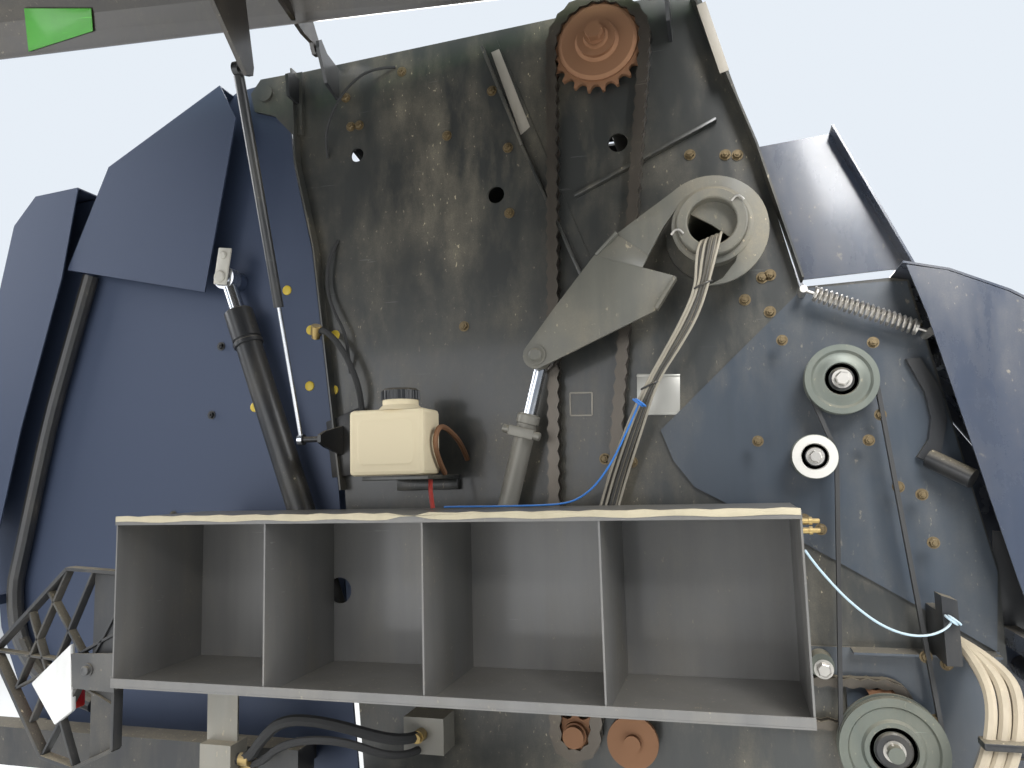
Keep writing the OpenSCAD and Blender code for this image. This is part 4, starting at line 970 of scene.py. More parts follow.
@dataclass
class OilBottle:
    """Cream moulded bottle with a ribbed cap on its sheet shelf."""

    low: Point = (-932.0, -860.0, 1602.0)
    high: Point = (-726.0, -750.0, 1768.0)
    field_inset: float = 24.0
    field_bevel: float = 5.0
    field_depth: float = 2.5
    corner: float = 11.0
    neck: tuple[Spot, ...] = ((0, 0), (0, 60), (8, 52), (14, 46), (27, 46), (27, 0))
    cap: tuple[Spot, ...] = ((0, 0), (0, 48), (24, 48), (29, 42), (29, 18), (31, 16), (31, 0))
    cap_at: Spot = (-812.0, -805.0)
    cap_lift: float = 25.0
    rib: tuple[Spot, ...] = ((0, 0), (0, 2.6), (22, 2.6), (24, 0))
    rib_ring: float = 48.0
    ribs: int = 28
    shelf: tuple[Block, ...] = (((-900, -850, 1590), (-720, -620, 1600)),
                                ((-900, -640, 1560), (-720, -620, 1589)))
    strap: Route = (((-716, -748, 1604), (-714, -800, 1640), (-712, -828, 1690), (-706, -800, 1730),
                     (-700, -700, 1700), (-698, -640, 1660), (-698, -622, 1640)), 7.0)
    drain: Route = (((-742, -780, 1596), (-742, -786, 1570), (-738, -790, 1545), (-734, -790, 1517)), 6.0)

    def build(self) -> None:
        """Mould the bottle, cap it, and set it on its shelf."""
        bottle = Bench.joined([self.moulding(),
                               Bench.turned(self.neck, (*self.cap_at, self.high[2] - 2), UPWARD)])
        Bench.fitted(bottle, "oil_container", Slot.BOTTLE_PLASTIC, BOTTLE_PLASTIC)
        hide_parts("oil_bottle")
        Bench.fitted(self.ribbed_cap(), "ribbed_cap", Slot.LAMP_PLASTIC, SATIN_BLACK)
        shelf = Bench.joined([Bench.block(*corners) for corners in self.shelf])
        Bench.fitted(shelf, "bottle_shelf", Slot.FRAME_PAINT, CHAMBER_PAINT)
        Bench.fitted(Bench.run(*self.strap), "bottle_strap", Slot.RUSTY_STEEL, RUSTY_STEEL)
        Bench.fitted(Bench.run(*self.drain), "red_drain_hose", Slot.HOSE_RUBBER, RED_HOSE)

    def moulding(self) -> Piece:
        """Mould the body with round edges and a shallow raised field on its front.

        Returns:
            The body.
        """
        body = Bench.block(self.low, self.high, 0.0)
        bpy.ops.object.mode_set(mode="EDIT")
        bpy.ops.mesh.select_mode(type="FACE")
        bpy.ops.mesh.select_all(action="DESELECT")
        bpy.ops.object.mode_set(mode="OBJECT")
        for face in body.data.polygons:
            face.select = face.normal.y < -0.9
        bpy.ops.object.mode_set(mode="EDIT")
        bpy.ops.mesh.inset(thickness=mm(self.field_inset), depth=0.0)
        bpy.ops.mesh.inset(thickness=mm(self.field_bevel), depth=mm(self.field_depth))
        bpy.ops.object.mode_set(mode="OBJECT")
        return Bench.finished(body, self.corner)

    def ribbed_cap(self) -> Piece:
        """Turn the cap and set the grip ribs round its rim.

        Returns:
            The cap.
        """
        foot = self.high[2] + self.cap_lift
        parts = [Bench.turned(self.cap, (*self.cap_at, foot), UPWARD, 56)]
        for i in range(self.ribs):
            turn = math.tau * i / self.ribs
            x = self.cap_at[0] + self.rib_ring * math.cos(turn)
            y = self.cap_at[1] + self.rib_ring * math.sin(turn)
            parts.append(Bench.turned(self.rib, (x, y, foot), UPWARD, 6))
        return Bench.joined(parts)


@dataclass
class PulleyFaces:
    """Dished faces and nuts of the belt pulleys, and black discs in their bores that are painted shade."""

    face_y: float = -703.4
    disc_at: Spot = (253, 1796)
    idler_at: Spot = (183, 1619)
    large_at: Spot = (301, 976)
    stud_at: Spot = (169, 1144)
    disc: tuple[Spot, ...] = ((0, 28), (0, 36), (-6, 38), (-6, 44), (-1, 52), (-1, 62), (-6, 68), (-6, 81),
                              (0, 81), (0, 28))
    large: tuple[Spot, ...] = ((0, 40), (0, 48), (-8, 50), (-8, 60), (-2, 66), (-2, 90), (-9, 94), (-9, 112),
                               (0, 112), (0, 40))
    idler: tuple[Spot, ...] = ((0, 20), (0, 29), (-7, 31), (-7, 50), (0, 50), (0, 20))
    bore_shade_r: tuple[float, ...] = (27, 22, 39)
    nut_r: tuple[float, ...] = (17, 15, 18, 16)
    bore_disc_deep: float = 8.0

    def build(self) -> None:
        """Turn the faces, the black bore discs of painted shade, and the nuts."""
        faces = Bench.joined([self.face(self.disc_at, self.disc), self.face(self.large_at, self.large)])
        Bench.fitted(faces, "pulley_faces", Slot.BARE_STEEL, PULLEY_ZINC)
        Bench.fitted(self.face(self.idler_at, self.idler), "idler_face", Slot.WHEEL_PAINT, WHEEL_PAINT)
        spots = (self.disc_at, self.idler_at, self.large_at, self.stud_at)
        # Satin-black discs that fill the pulleys' bores: painted shade for the dark holes.
        bore_shades = [self.face(at, [(0, 0), (0, r), (-5, r), (-self.bore_disc_deep, r - 4), (-self.bore_disc_deep, 0)])
                for at, r in zip(spots, self.bore_shade_r)]
        Bench.fitted(Bench.joined(bore_shades), "pulley_bore_shades", Slot.DARK_STEEL, SATIN_BLACK)
        nuts = [self.nut(at, r) for at, r in zip(spots, self.nut_r)]
        Bench.fitted(Bench.joined(nuts), "pulley_nuts", Slot.BARE_STEEL, BARE_STEEL)

    def face(self, at: Spot, profile: Sequence[Spot]) -> Piece:
        """Turn a face at a pulley's place."""
        return Bench.turned(profile, (at[0], self.face_y, at[1]), steps=48)

    def nut(self, at: Spot, r: float) -> Piece:
        """Turn a nut with its washer for the end of a shaft.

        Args:
            at: Place of the shaft.
            r: Radius of the nut.

        Returns:
            The nut on its washer.
        """
        foot = (at[0], self.face_y - self.bore_disc_deep, at[1])
        washer = Bench.turned([(0, 0), (0, r + 5), (-3, r + 5), (-3, 0)], foot)
        nut = Bench.turned([(-3, 0), (-3, r), (-14, r), (-16, r - 3), (-16, 0)], foot, steps=6)
        return Bench.joined([washer, nut])


@dataclass
class Bolting:
    """Bolt heads on the sheets, each with its washer and the end of its stud."""

    flank: tuple[Spot, ...] = (
        (-880, 2793), (-1064, 2742), (-1048, 2648), (-1020, 2648), (-741, 2573), (-602, 2686), (-559, 2510),
        (-63, 2418), (26, 2405), (56, 2400), (52, 2019), (116, 2077), (97, 2072), (110, 1983), (-700, 2010),
        (-560, 2320), (-250, 1620), (-320, 1630))
    drive: tuple[Spot, ...] = (
        (333, 1711), (405, 1527), (358, 1545), (385, 1172), (425, 1158), (394, 1038), (304, 1653),
        (152, 1474), (187, 1451), (60, 1660), (130, 1900), (330, 1880), (420, 1420))
    gate: tuple[Spot, ...] = ((-1490, 2010), (-1520, 1800), (-1650, 1500), (-1330, 2330))
    flank_r: float = 11.0
    other_r: float = 10.0
    washer_t: float = 2.5

    def build(self) -> None:
        """Set every group of bolts on its sheet."""
        flank = Bench.both_flanks(self.row(self.flank, -PLATE_FACE, self.flank_r))
        Bench.fitted(flank, "flank_bolts", Slot.BARE_STEEL, BOLT_PLATING)
        drive_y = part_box("drive_plate")[0][1] * MM_IN_M
        drive = self.row(self.drive, drive_y, self.other_r)
        Bench.fitted(drive, "drive_bolts", Slot.BARE_STEEL, BOLT_PLATING)
        gate = Bench.both_flanks(self.row(self.gate, -PLATE_FACE, self.other_r))
        Bench.fitted(gate, "gate_bolts", Slot.BARE_STEEL, SATIN_BLACK, Body.TAILGATE)

    def row(self, spots: Sequence[Spot], face_y: float, r: float) -> Piece:
        """Make one bolt and copy it to a row of spots.

        Args:
            spots: Places on the flank.
            face_y: Outer face of the sheet.
            r: Radius of the heads.

        Returns:
            The bolts as one piece.
        """
        flat = -self.washer_t
        crown = -3 - r * 0.7
        tip = -5 - r * 0.9
        origin = (0.0, 0.0, 0.0)
        washer = Bench.turned([(0, 0), (0, r * 1.35), (flat, r * 1.35), (flat, 0)], origin, steps=20)
        hexagon = [(flat, 0), (flat, r), (flat - r * 0.55, r), (crown, r * 0.82), (crown, 0)]
        head = Bench.turned(hexagon, origin, steps=6)
        stud = Bench.turned([(crown, 0), (crown, r * 0.45), (tip, r * 0.4), (tip, 0)], origin, steps=12)
        return Bench.copies(Bench.joined([washer, head, stud]), [(x, face_y, z) for x, z in spots])


@dataclass
class FlankSheets:
    """Folded ribs, liners and blank plates on the flank's side plate."""

    ribs: tuple[Bar, ...] = (
        ((-622, 2812), (-512, 2500), 8.0, -650.0, 29.7), ((-512, 2500), (-330, 2040), 8.0, -644.0, 23.7),
        ((-372, 2342), (8, 2500), 9.0, -640.0, 19.7), ((-300, 2110), (-180, 2180), 8.0, -638.0, 17.7))
    light: Plate = (((-600, 2800), (-576, 2806), (-492, 2560), (-520, 2540)), -626.0, 5.7)
    liner: Plate = (((540, 1190), (720, 1190), (700, 1420), (560, 1440)), -606.0, 3.0)
    flange: Bar = ((-12, 2796), (36, 2600), 24.0, -682.0, 1.7)
    type_plate: Plate = (((-227, 1847), (-118, 1840), (-123, 1735), (-232, 1740)), -623.0, 2.4)
    plate_rims: tuple[Bar, ...] = (((-231, 1744), (-123, 1739), 4.0, -625.0, 2.0),
                                   ((-228, 1842), (-119, 1836), 4.0, -625.0, 2.0))
    square: tuple[Spot, ...] = ((-406, 1807), (-347, 1805), (-349, 1745), (-407, 1747))
    rim: Point = (4.0, -622.4, 2.0)
    plate_edge: float = 0.5
    thin_edge: float = 0.4

    def build(self) -> None:
        """Fold the ribs and set the liners and the blank plates."""
        ribs = Bench.both_flanks(Bench.joined([Bench.bar(*rib) for rib in self.ribs]))
        Bench.fitted(ribs, "flank_ribs", Slot.FRAME_PAINT, CHAMBER_PAINT)
        light = Bench.flank(*self.light)
        Bench.fitted(light, "light_plate", Slot.BARE_STEEL, PALE_SHEET)
        liner = Bench.both_flanks(Bench.flank(*self.liner))
        Bench.fitted(liner, "hood_liner", Slot.BLACK_PAINT, SATIN_BLACK)
        flange = Bench.both_flanks(Bench.bar(*self.flange, self.thin_edge))
        Bench.fitted(flange, "dusty_flange", Slot.FRAME_PAINT, PALE_SHEET)
        plate = Bench.joined([Bench.flank(*self.type_plate, self.plate_edge),
                              *[Bench.bar(*rim, self.thin_edge) for rim in self.plate_rims]])
        Bench.fitted(plate, "blank_type_plate", Slot.BARE_STEEL, BRIGHT_PLATE)
        square = [Bench.bar(a, b, *self.rim, self.thin_edge)
                  for a, b in zip(self.square, self.square[1:] + self.square[:1])]
        Bench.fitted(Bench.joined(square), "outlined_square", Slot.BARE_STEEL, PALE_SHEET)


@dataclass
class TrayTrim:
    """Seal along the tray's top edge, its studs, and the bolt on its rear tab."""

    x_range: Spot = (-1462.0, 118.0)
    face_y: float = -1052.0
    top_z: float = 1515.0
    waves: int = 48
    torn_at: tuple[int, ...] = (23, 24)
    torn_deep: float = 5.0
    stud: tuple[Spot, ...] = ((0, 0), (0, 6), (14, 6), (14, 8), (20, 8), (20, 5), (32, 5), (34, 3), (34, 0))
    studs_z: Spot = (1494.0, 1476.0)
    studs_y: float = -1034.0
    tab: Plate = (((-1599, 1186), (-1466, 1192), (-1466, 1100), (-1590, 1104)), -1036.0, 5.0)
    tab_bolt_at: Point = (-1545.0, -1036.0, 1150.0)
    seal_t: float = 5.0
    waver: Spot = (1.4, 1.8)
    tab_bolt: tuple[Spot, ...] = ((0, 0), (0, 16), (-4, 16), (-4, 11), (-12, 11), (-14, 8), (-14, 0))

    def build(self) -> None:
        """Lay the seal and fit the small metal parts."""
        Bench.fitted(Bench.both_flanks(self.seal()), "tray_seal", Slot.WIRE_PLASTIC, SEAL_FOAM)
        studs = [Bench.turned(self.stud, (self.x_range[1], self.studs_y, z), (1.0, 0.0, 0.0), 14)
                 for z in self.studs_z]
        Bench.fitted(Bench.joined(studs), "brass_studs", Slot.BARE_STEEL, BRASS)
        tab = Bench.flank(*self.tab)
        bolt = Bench.turned(self.tab_bolt, self.tab_bolt_at, steps=16)
        Bench.fitted(Bench.joined([tab, bolt]), "tray_tab", Slot.BARE_STEEL, DULL_STEEL)

    def seal(self) -> Piece:
        """Cut the seal with its uneven edges and its torn spot.

        Returns:
            The seal.
        """
        x0, x1 = self.x_range
        upper, lower = [], []
        for i in range(self.waves + 1):
            x = x0 + (x1 - x0) * i / self.waves
            torn = self.torn_deep if i in self.torn_at else 0.0
            upper.append((x, self.top_z + 5.0 + self.waver[0] * math.sin(2.3 * i) - torn))
            lower.append((x, self.top_z - 9.0 + self.waver[1] * math.sin(1.1 * i + 0.5) + torn))
        return Bench.flank(upper + lower[::-1], self.face_y, self.seal_t)


@dataclass
class LampCarriers:
    """Ribbed moulding behind each tray with its white side lens and red rear lamp."""

    face_y: float = -1020.0
    edge: tuple[Spot, ...] = ((-1870, 1180), (-1640, 1389), (-1484, 1380), (-1484, 960), (-1600, 909),
                              (-1700, 930))
    ribs: tuple[tuple[Spot, Spot], ...] = (
        ((-1870, 1180), (-1484, 1150)), ((-1760, 1285), (-1600, 909)), ((-1640, 1389), (-1790, 1090)),
        ((-1560, 1385), (-1740, 1010)), ((-1484, 1290), (-1700, 930)), ((-1790, 1090), (-1484, 1235)),
        ((-1700, 1330), (-1530, 1100)), ((-1484, 1060), (-1690, 1150)))
    edge_bar: Spot = (9.0, 30.0)
    rib_bar: Spot = (6.0, 24.0)
    rib_inset: float = 4.0
    back_sheet: Plate = (((-1560, 1380), (-1486, 1378), (-1486, 962), (-1560, 930)), -1008.0, 5.0)
    mounts: tuple[Block, ...] = (((-1560, -994, 1130), (-1470, -930, 1190)),
                                 ((-1500, -990, 1100), (-1465, -730, 1160)))
    lens: Plate = (((-1737, 1105), (-1617, 1206), (-1606, 1045), (-1658, 1008)), -1020.0, 16.0)
    lamp: Block = ((-1722, -988, 1030), (-1650, -930, 1112))
    bar_edge: float = 1.0
    lens_edge: float = 4.0
    lamp_edge: float = 7.0

    def build(self) -> None:
        """Mould the lattice and fit the lenses on both flanks."""
        wide, deep = self.edge_bar
        parts = [Bench.bar(a, b, wide, self.face_y, deep, self.bar_edge)
                 for a, b in zip(self.edge, self.edge[1:] + self.edge[:1])]
        wide, deep = self.rib_bar
        parts += [Bench.bar(a, b, wide, self.face_y + self.rib_inset, deep, self.bar_edge)
                  for a, b in self.ribs]
        parts.append(Bench.flank(*self.back_sheet))
        parts += [Bench.block(*corners) for corners in self.mounts]
        lattice = Bench.both_flanks(Bench.joined(parts))
        Bench.fitted(lattice, "lamp_lattice", Slot.LAMP_PLASTIC, CARRIER_PLASTIC)
        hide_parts("lamp_carriers")
        lens = Bench.both_flanks(Bench.flank(*self.lens, self.lens_edge))
        Bench.fitted(lens, "white_side_lens", Slot.LAMP_PLASTIC, WHITE_LENS)
        lamp = Bench.both_flanks(Bench.block(*self.lamp, self.lamp_edge))
        Bench.fitted(lamp, "red_rear_lamp", Slot.LAMP_PLASTIC, RED_LENS)


@dataclass
class Hoses:
    """Hydraulic hoses and their brass ends."""

    black: tuple[Route, ...] = (
        (((-1249, -850, 900), (-1218, -850, 900), (-1180, -856, 950), (-1115, -860, 1008),
          (-1000, -840, 1000), (-860, -790, 950), (-810, -730, 940), (-810, -700, 940)), 14.0),
        (((-1249, -830, 880), (-1200, -840, 880), (-1100, -880, 960), (-960, -860, 970), (-840, -780, 900),
          (-820, -700, 900)), 10.0),
        (((-1150, -642, 2010), (-1130, -660, 2040), (-1060, -668, 1980), (-1010, -664, 1880),
          (-1000, -650, 1800), (-1010, -622, 1740)), 9.0))
    pale_start: Point = (446, -700, 1214)
    pale: tuple[Point, ...] = ((490, -772, 1176), (494, -832, 1112), (462, -850, 1000), (408, -826, 906),
                               (396, -740, 850), (396, -624, 845))
    pale_shifts: Point = (-24.0, 0.0, 24.0)
    pale_r: float = 11.5
    clamp: Block = ((436, -872, 1040), (514, -826, 1056))
    clamp_edge: float = 4.0
    end: tuple[Spot, ...] = ((-4, 0), (-4, 12), (8, 12), (8, 16), (34, 16), (36, 14), (36, 0))
    ends_at: tuple[tuple[Point, Point], ...] = (
        ((-1249, -850, 900), (1, 0, 0)), ((-1249, -830, 880), (1, 0, 0)), ((-810, -736, 940), (0, 1, 0)),
        ((-1150, -645, 2010), (0.3, -0.4, 0.8)))

    def build(self) -> None:
        """Lay the hoses and fit their ends."""
        black = Bench.joined([Bench.run(*hose) for hose in self.black])
        piece = Bench.fitted(black, "black_hoses", Slot.HOSE_RUBBER, HOSE_RUBBER)
        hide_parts("frame_hoses")
        pale = [Bench.run([self.pale_start, *[(x + shift, y, z) for x, y, z in self.pale]], self.pale_r)
                for shift in self.pale_shifts]
        Bench.fitted(Bench.joined(pale), "pale_hoses", Slot.HOSE_RUBBER, PALE_HOSE)
        Bench.fitted(Bench.block(*self.clamp, self.clamp_edge), "hose_clamp", Slot.LAMP_PLASTIC, SATIN_BLACK)
        ends = [Bench.turned(self.end, at, axis, 18) for at, axis in self.ends_at]
        Bench.fitted(Bench.joined(ends), "hose_ends", Slot.BARE_STEEL, BRASS)


@dataclass
class CylinderEnds:
    """Glands and port blocks of the cylinders, and the link plate at the tailgate rod's eye."""

    arm_base: Spot = (-676.0, 1120.0)
    arm_tip: Spot = (-462.0, 1893.0)
    arm_y: float = -690.0
    gate_base: Spot = (-1063.0, 1200.0)
    gate_top: Spot = (-1431.0, 2203.0)
    gate_y: float = -674.0
    port_at: float = 604.0
    port_half: Spot = (33.0, 9.0)
    socket: tuple[Spot, ...] = ((0, 0), (0, 11), (16, 11), (18, 8), (18, 0))
    link: Bar = ((-1437, 2180), (-1420, 2290), 44.0, -706.0, 8.0)
    link_edge: float = 3.0
    link_heads: tuple[Point, ...] = ((-1434, 2203, 18), (-1424, 2268, 12))

    def build(self) -> None:
        """Fit the glands, ports and the link plate on both flanks."""
        gland = self.collar(self.arm_base, self.arm_tip, self.arm_y, (628.0, 24.0), (26.4, 30.0))
        arm_ends = Bench.both_flanks(Bench.joined([gland, self.port()]))
        Bench.fitted(arm_ends, "tension_glands", Slot.BARE_STEEL, CYLINDER_GREY, Body.TENSION_BARRELS)
        sleeves = [self.collar(self.gate_base, self.gate_top, self.gate_y, span, radii)
                   for span, radii in (((866.0, 92.0), (38.4, 42.0)), ((846.0, 14.0), (38.4, 44.0)))]
        gate_ends = Bench.both_flanks(Bench.joined(sleeves))
        Bench.fitted(gate_ends, "lift_glands", Slot.BLACK_PAINT, SATIN_BLACK, Body.LIFT_BARRELS)
        link = Bench.bar(*self.link, self.link_edge)
        heads = [Bench.turned([(0, 0), (0, r), (-5, r), (-8, r - 4), (-8, 0)], (x, self.link[3], z), steps=20)
                 for x, z, r in self.link_heads]
        link = Bench.both_flanks(Bench.joined([link, *heads]))
        Bench.fitted(link, "rod_link", Slot.BARE_STEEL, WHITE_LINK, Body.LIFT_RODS)

    @staticmethod
    def collar(base: Spot, tip: Spot, y: float, span: Spot, radii: Spot) -> Piece:
        """Turn a collar round a barrel.

        Args:
            base: Barrel's foot as (x, z).
            tip: The point that it looks at.
            y: Distance of the barrel from the centre plane.
            span: Start of the collar along the barrel, and its length.
            radii: Inner and outer radius.

        Returns:
            The collar.
        """
        run_x, run_z = tip[0] - base[0], tip[1] - base[1]
        full = math.hypot(run_x, run_z)
        ahead = (run_x / full, 0.0, run_z / full)
        start, length = span
        inner, outer = radii
        foot = (base[0] + ahead[0] * start, y, base[1] + ahead[2] * start)
        profile = [(0, inner), (0, outer - 2), (2, outer), (length - 2, outer), (length, outer - 2),
                   (length, inner), (0, inner)]
        return Bench.turned(profile, foot, ahead, 40)

    def port(self) -> Piece:
        """Mill the port block with a socket at either end.

        Returns:
            The port block.
        """
        run_x, run_z = self.arm_tip[0] - self.arm_base[0], self.arm_tip[1] - self.arm_base[1]
        full = math.hypot(run_x, run_z)
        x = self.arm_base[0] + run_x / full * self.port_at
        z = self.arm_base[1] + run_z / full * self.port_at
        wide, drop = self.port_half
        body = Bench.bar((x - wide, z + drop), (x + wide, z - drop), 26.0, -736.0, 22.0, 3.0)
        left = Bench.turned(self.socket, (x - wide + 1, -726.0, z + drop), (-1, 0, 0.3), 14)
        right = Bench.turned(self.socket, (x + wide - 1, -726.0, z - drop), (1, 0, -0.3), 14)
        return Bench.joined([body, left, right])


@dataclass
class TailgateTrim:
    """Plug caps, cables and a bracket between the tailgate and the flank."""

    cap: tuple[Spot, ...] = ((0, 0), (0, 15), (-3, 14), (-5, 9), (-5, 0))
    cap_y: float = -620.2
    gate_caps: tuple[Spot, ...] = ((-1262, 2165), (-1369, 1817), (-1184, 1870), (-1181, 2037))
    front_caps: tuple[Spot, ...] = ((-1101, 2016), (-1106, 1854))
    cables: tuple[Route, ...] = (
        (((-1090, -622, 2300), (-1110, -640, 2250), (-1120, -640, 2160), (-1090, -650, 2080),
          (-1050, -650, 2010), (-1046, -640, 1930), (-1050, -622, 1900)), 5.0),
        (((-900, -622, 2810), (-960, -650, 2806), (-1040, -655, 2760), (-1090, -655, 2690),
          (-1120, -650, 2610), (-1124, -622, 2560)), 4.0))
    bracket: Plate = (((-1120, 1760), (-1010, 1800), (-985, 1720), (-1010, 1610), (-1100, 1600)), -640.0, 6.0)
    bracket_edge: float = 1.5
    bracket_foot: Block = ((-1080, -634, 1640), (-1030, -620.2, 1700))

    def build(self) -> None:
        """Press in the caps, lay the cables and fit the bracket."""
        for name, body, spots in (("yellow_plug_caps", Body.TAILGATE, self.gate_caps),
                                  ("front_plug_caps", Body.FRAME, self.front_caps)):
            cap = Bench.turned(self.cap, (0, 0, 0), steps=20)
            row = Bench.both_flanks(Bench.copies(cap, [(x, self.cap_y, z) for x, z in spots]))
            Bench.fitted(row, name, Slot.LAMP_PLASTIC, YELLOW_CAP, body)
        cables = Bench.joined([Bench.run(*cable) for cable in self.cables])
        Bench.fitted(cables, "flank_cables", Slot.HOSE_RUBBER, HOSE_RUBBER)
        bracket = Bench.joined([Bench.flank(*self.bracket, self.bracket_edge),
                                Bench.block(*self.bracket_foot)])
        Bench.fitted(bracket, "black_bracket", Slot.BLACK_PAINT, SATIN_BLACK)


@dataclass
class CoverTab:
    """Green tab folded in at the rear end of the raised cover."""

    corners: tuple[Point, ...] = (
        (-1851, -1033, 2940), (-1663, -987, 2930), (-1684, -957, 2883), (-1895, -974, 2850))
    push: Point = (-0.4, 2.6, 2.6)

    def build(self) -> None:
        """Cut the tab and lay it under the cover."""
        tab = Bench.sheet([place(*c) for c in self.corners], Vector([mm(v) for v in self.push]))
        Bench.fitted(tab, "green_tab", Slot.COVER_PAINT, GREEN_TAB, Body.RIGHT_COVER)


@dataclass
class Twine:
    """Baling twine: a blue strand tied to the wires and a pale one from the tray to the drive's bracket."""

    diameter: float = 5.0
    blue: tuple[Point, ...] = (
        (-700, -800, 1520.5), (-660, -790, 1520.5), (-610, -800, 1520.5), (-560, -806, 1520.5),
        (-510, -800, 1520.5), (-460, -790, 1520.5), (-410, -780, 1522), (-370, -776, 1530),
        (-330, -774, 1556), (-296, -770, 1596), (-268, -768, 1640), (-246, -770, 1682), (-228, -776, 1716),
        (-214, -782, 1742), (-206, -786, 1758))
    pale: tuple[Point, ...] = (
        (121, -1040, 1440), (136, -1032, 1416), (160, -1018, 1384), (188, -998, 1350), (218, -976, 1320),
        (250, -950, 1293), (284, -920, 1272), (318, -888, 1258), (350, -856, 1251), (378, -828, 1251),
        (400, -806, 1256), (414, -794, 1264), (420, -787, 1272))
    knot_reach: Point = (11.0, 8.0, 9.0)
    knot_lift: float = 3.0
    knot_shifts: Spot = (-3.0, 3.0)

    def build(self) -> None:
        """Lay both strands."""
        self.strand("blue_twine", self.blue, BLUE_TWINE)
        self.strand("pale_twine", self.pale, PALE_TWINE)

    def strand(self, name: str, route: Sequence[Point], finish: Finish) -> None:
        """Lay one strand and tie its knot.

        Args:
            name: The strand's name.
            route: Its points in the datum.
            finish: Its surface.
        """
        cord = Bench.run(route, self.diameter / 2, 5, as_curve=True)
        Bench.fitted(cord, name, Slot.WIRE_PLASTIC, finish)
        x, y, z = route[-1]
        wide, deep, high = self.knot_reach
        turns = [math.tau * i / 10 for i in range(11)]
        loops = [Bench.run([(x + wide * math.cos(a) + s, y - self.knot_lift + deep * math.sin(a),
                             z + high * math.cos(a + s)) for a in turns], self.diameter / 2, 3)
                 for s in self.knot_shifts]
        knot = Bench.fitted(Bench.joined(loops), name + "_knot", Slot.WIRE_PLASTIC, finish)


@dataclass
class Photographer:
    """Camera beside the right flank, below the raised cover."""

    stand: Point = (0.0, -2620.0, 1600.0)
    yaw_deg: float = 15.8
    pitch_deg: float = 6.6
    roll_deg: float = 1.55
    lens_mm: float = 27.04
    sensor_mm: float = 36.0
    sight_m: float = 200.0

    def place_camera(self) -> Piece:
        """Make the camera and set it as the scene's.

        Returns:
            The camera.
        """
        yaw, pitch, roll = (math.radians(a) for a in (self.yaw_deg, self.pitch_deg, self.roll_deg))
        ahead = Vector((-math.sin(yaw) * math.cos(pitch), math.cos(yaw) * math.cos(pitch), math.sin(pitch)))
        level = Vector((math.cos(yaw), math.sin(yaw), 0.0))
        above = level.cross(ahead)
        across = level * math.cos(roll) - above * math.sin(roll)
        upward = above * math.cos(roll) + level * math.sin(roll)
        bpy.ops.object.camera_add(location=place(*self.stand))
        camera = bpy.context.object
        camera.name = "photographer"
        turn = Matrix((across, upward, -ahead)).transposed()
        camera.rotation_euler = turn.to_euler()
        camera.data.lens = self.lens_mm
        camera.data.sensor_width = self.sensor_mm
        camera.data.clip_end = self.sight_m
        bpy.context.scene.camera = camera
        return camera


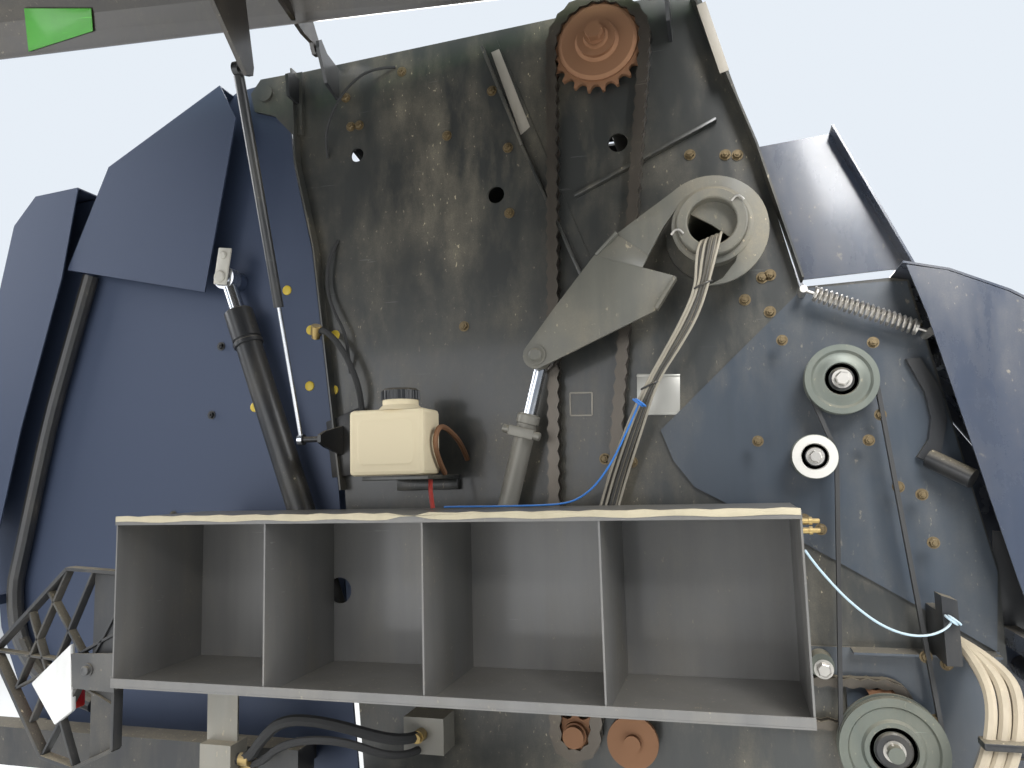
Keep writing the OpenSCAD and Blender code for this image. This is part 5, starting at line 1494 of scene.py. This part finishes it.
@dataclass
class Studio:
    """Pale floor, pale world and soft lamps."""

    floor_m: float = 60.0
    floor_at: Point = (-400.0, 0.0, -1.0)
    floor_tint: Point = (0.72, 0.72, 0.70)
    floor_roughness: float = 0.9
    soft_tint: Point = (0.80, 0.88, 1.0)
    seen_tint: Point = (0.80, 0.86, 0.93)
    world_strength: float = 0.48
    lamps_look_at: Point = (-500.0, 0.0, 1500.0)
    lamps: tuple[tuple[str, Point, float, float], ...] = (
        ("flank_lamp", (1500.0, -5200.0, 5200.0), 3.0, 640.0),
        ("low_fill", (-2600.0, -5400.0, 1800.0), 4.0, 110.0),
        ("far_lamp", (-1500.0, 5200.0, 5000.0), 5.0, 420.0),
        ("rear_lamp", (-6500.0, -1200.0, 4200.0), 4.0, 260.0),
        ("front_lamp", (5200.0, -1500.0, 4200.0), 4.0, 260.0),
    )

    def build(self) -> None:
        """Lay the floor, light the scene and set the plain view."""
        self.lay_floor()
        self.light_world()
        self.hang_lamps()
        bpy.context.scene.view_settings.view_transform = "Standard"

    def lay_floor(self) -> None:
        """Lay the pale floor under the wheels."""
        bpy.ops.mesh.primitive_plane_add(size=self.floor_m, location=place(*self.floor_at))
        floor = bpy.context.object
        floor.name = "studio_floor"
        made = bpy.data.materials.new("pale_floor")
        made.use_nodes = True
        shader = made.node_tree.nodes["Principled BSDF"]
        shader.inputs["Base Color"].default_value = (*self.floor_tint, 1.0)
        shader.inputs["Roughness"].default_value = self.floor_roughness
        floor.data.materials.append(made)

    def light_world(self) -> None:
        """Light the object softly and show a pale sky behind it."""
        world = bpy.data.worlds.new("pale_world")
        bpy.context.scene.world = world
        world.use_nodes = True
        tree = world.node_tree
        soft = tree.nodes["Background"]
        soft.inputs["Color"].default_value = (*self.soft_tint, 1.0)
        soft.inputs["Strength"].default_value = self.world_strength
        seen = new_node(tree, "ShaderNodeBackground")
        seen.inputs["Color"].default_value = (*self.seen_tint, 1.0)
        seen.inputs["Strength"].default_value = 1.0
        path = new_node(tree, "ShaderNodeLightPath")
        shown = combine(tree, "MAXIMUM", path.outputs["Is Camera Ray"], path.outputs["Is Transmission Ray"])
        mix = new_node(tree, "ShaderNodeMixShader")
        tree.links.new(shown, mix.inputs[0])
        tree.links.new(soft.outputs[0], mix.inputs[1])
        tree.links.new(seen.outputs[0], mix.inputs[2])
        tree.links.new(mix.outputs[0], tree.nodes["World Output"].inputs["Surface"])

    def hang_lamps(self) -> None:
        """Hang the soft lamps, each turned to the machine's middle."""
        middle = place(*self.lamps_look_at)
        for name, stand, size, power in self.lamps:
            bpy.ops.object.light_add(type="AREA", location=place(*stand))
            lamp = bpy.context.object
            lamp.name = name
            lamp.data.size = size
            lamp.data.energy = power
            lamp.rotation_euler = (middle - lamp.location).to_track_quat("-Z", "Y").to_euler()


def main() -> None:
    """Load the frame, dress it, and set the studio and the camera."""
    logging.basicConfig(level=logging.INFO, format="%(name)s: %(message)s")
    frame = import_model()
    dress_nodes(frame["nodes"])
    log.info("dressed %d nodes", len(frame["nodes"]))
    Photographer().place_camera()
    for assembly in (Twine(), WireRuns(), TensionArms(), OilBottle(), PulleyFaces(), Bolting(), FlankSheets(),
                     TrayTrim(), LampCarriers(), Hoses(), CylinderEnds(), TailgateTrim(), CoverTab()):
        assembly.build()
        log.info("built %s", type(assembly).__name__)
    Studio().build()


if __name__ == "__main__":
    main()
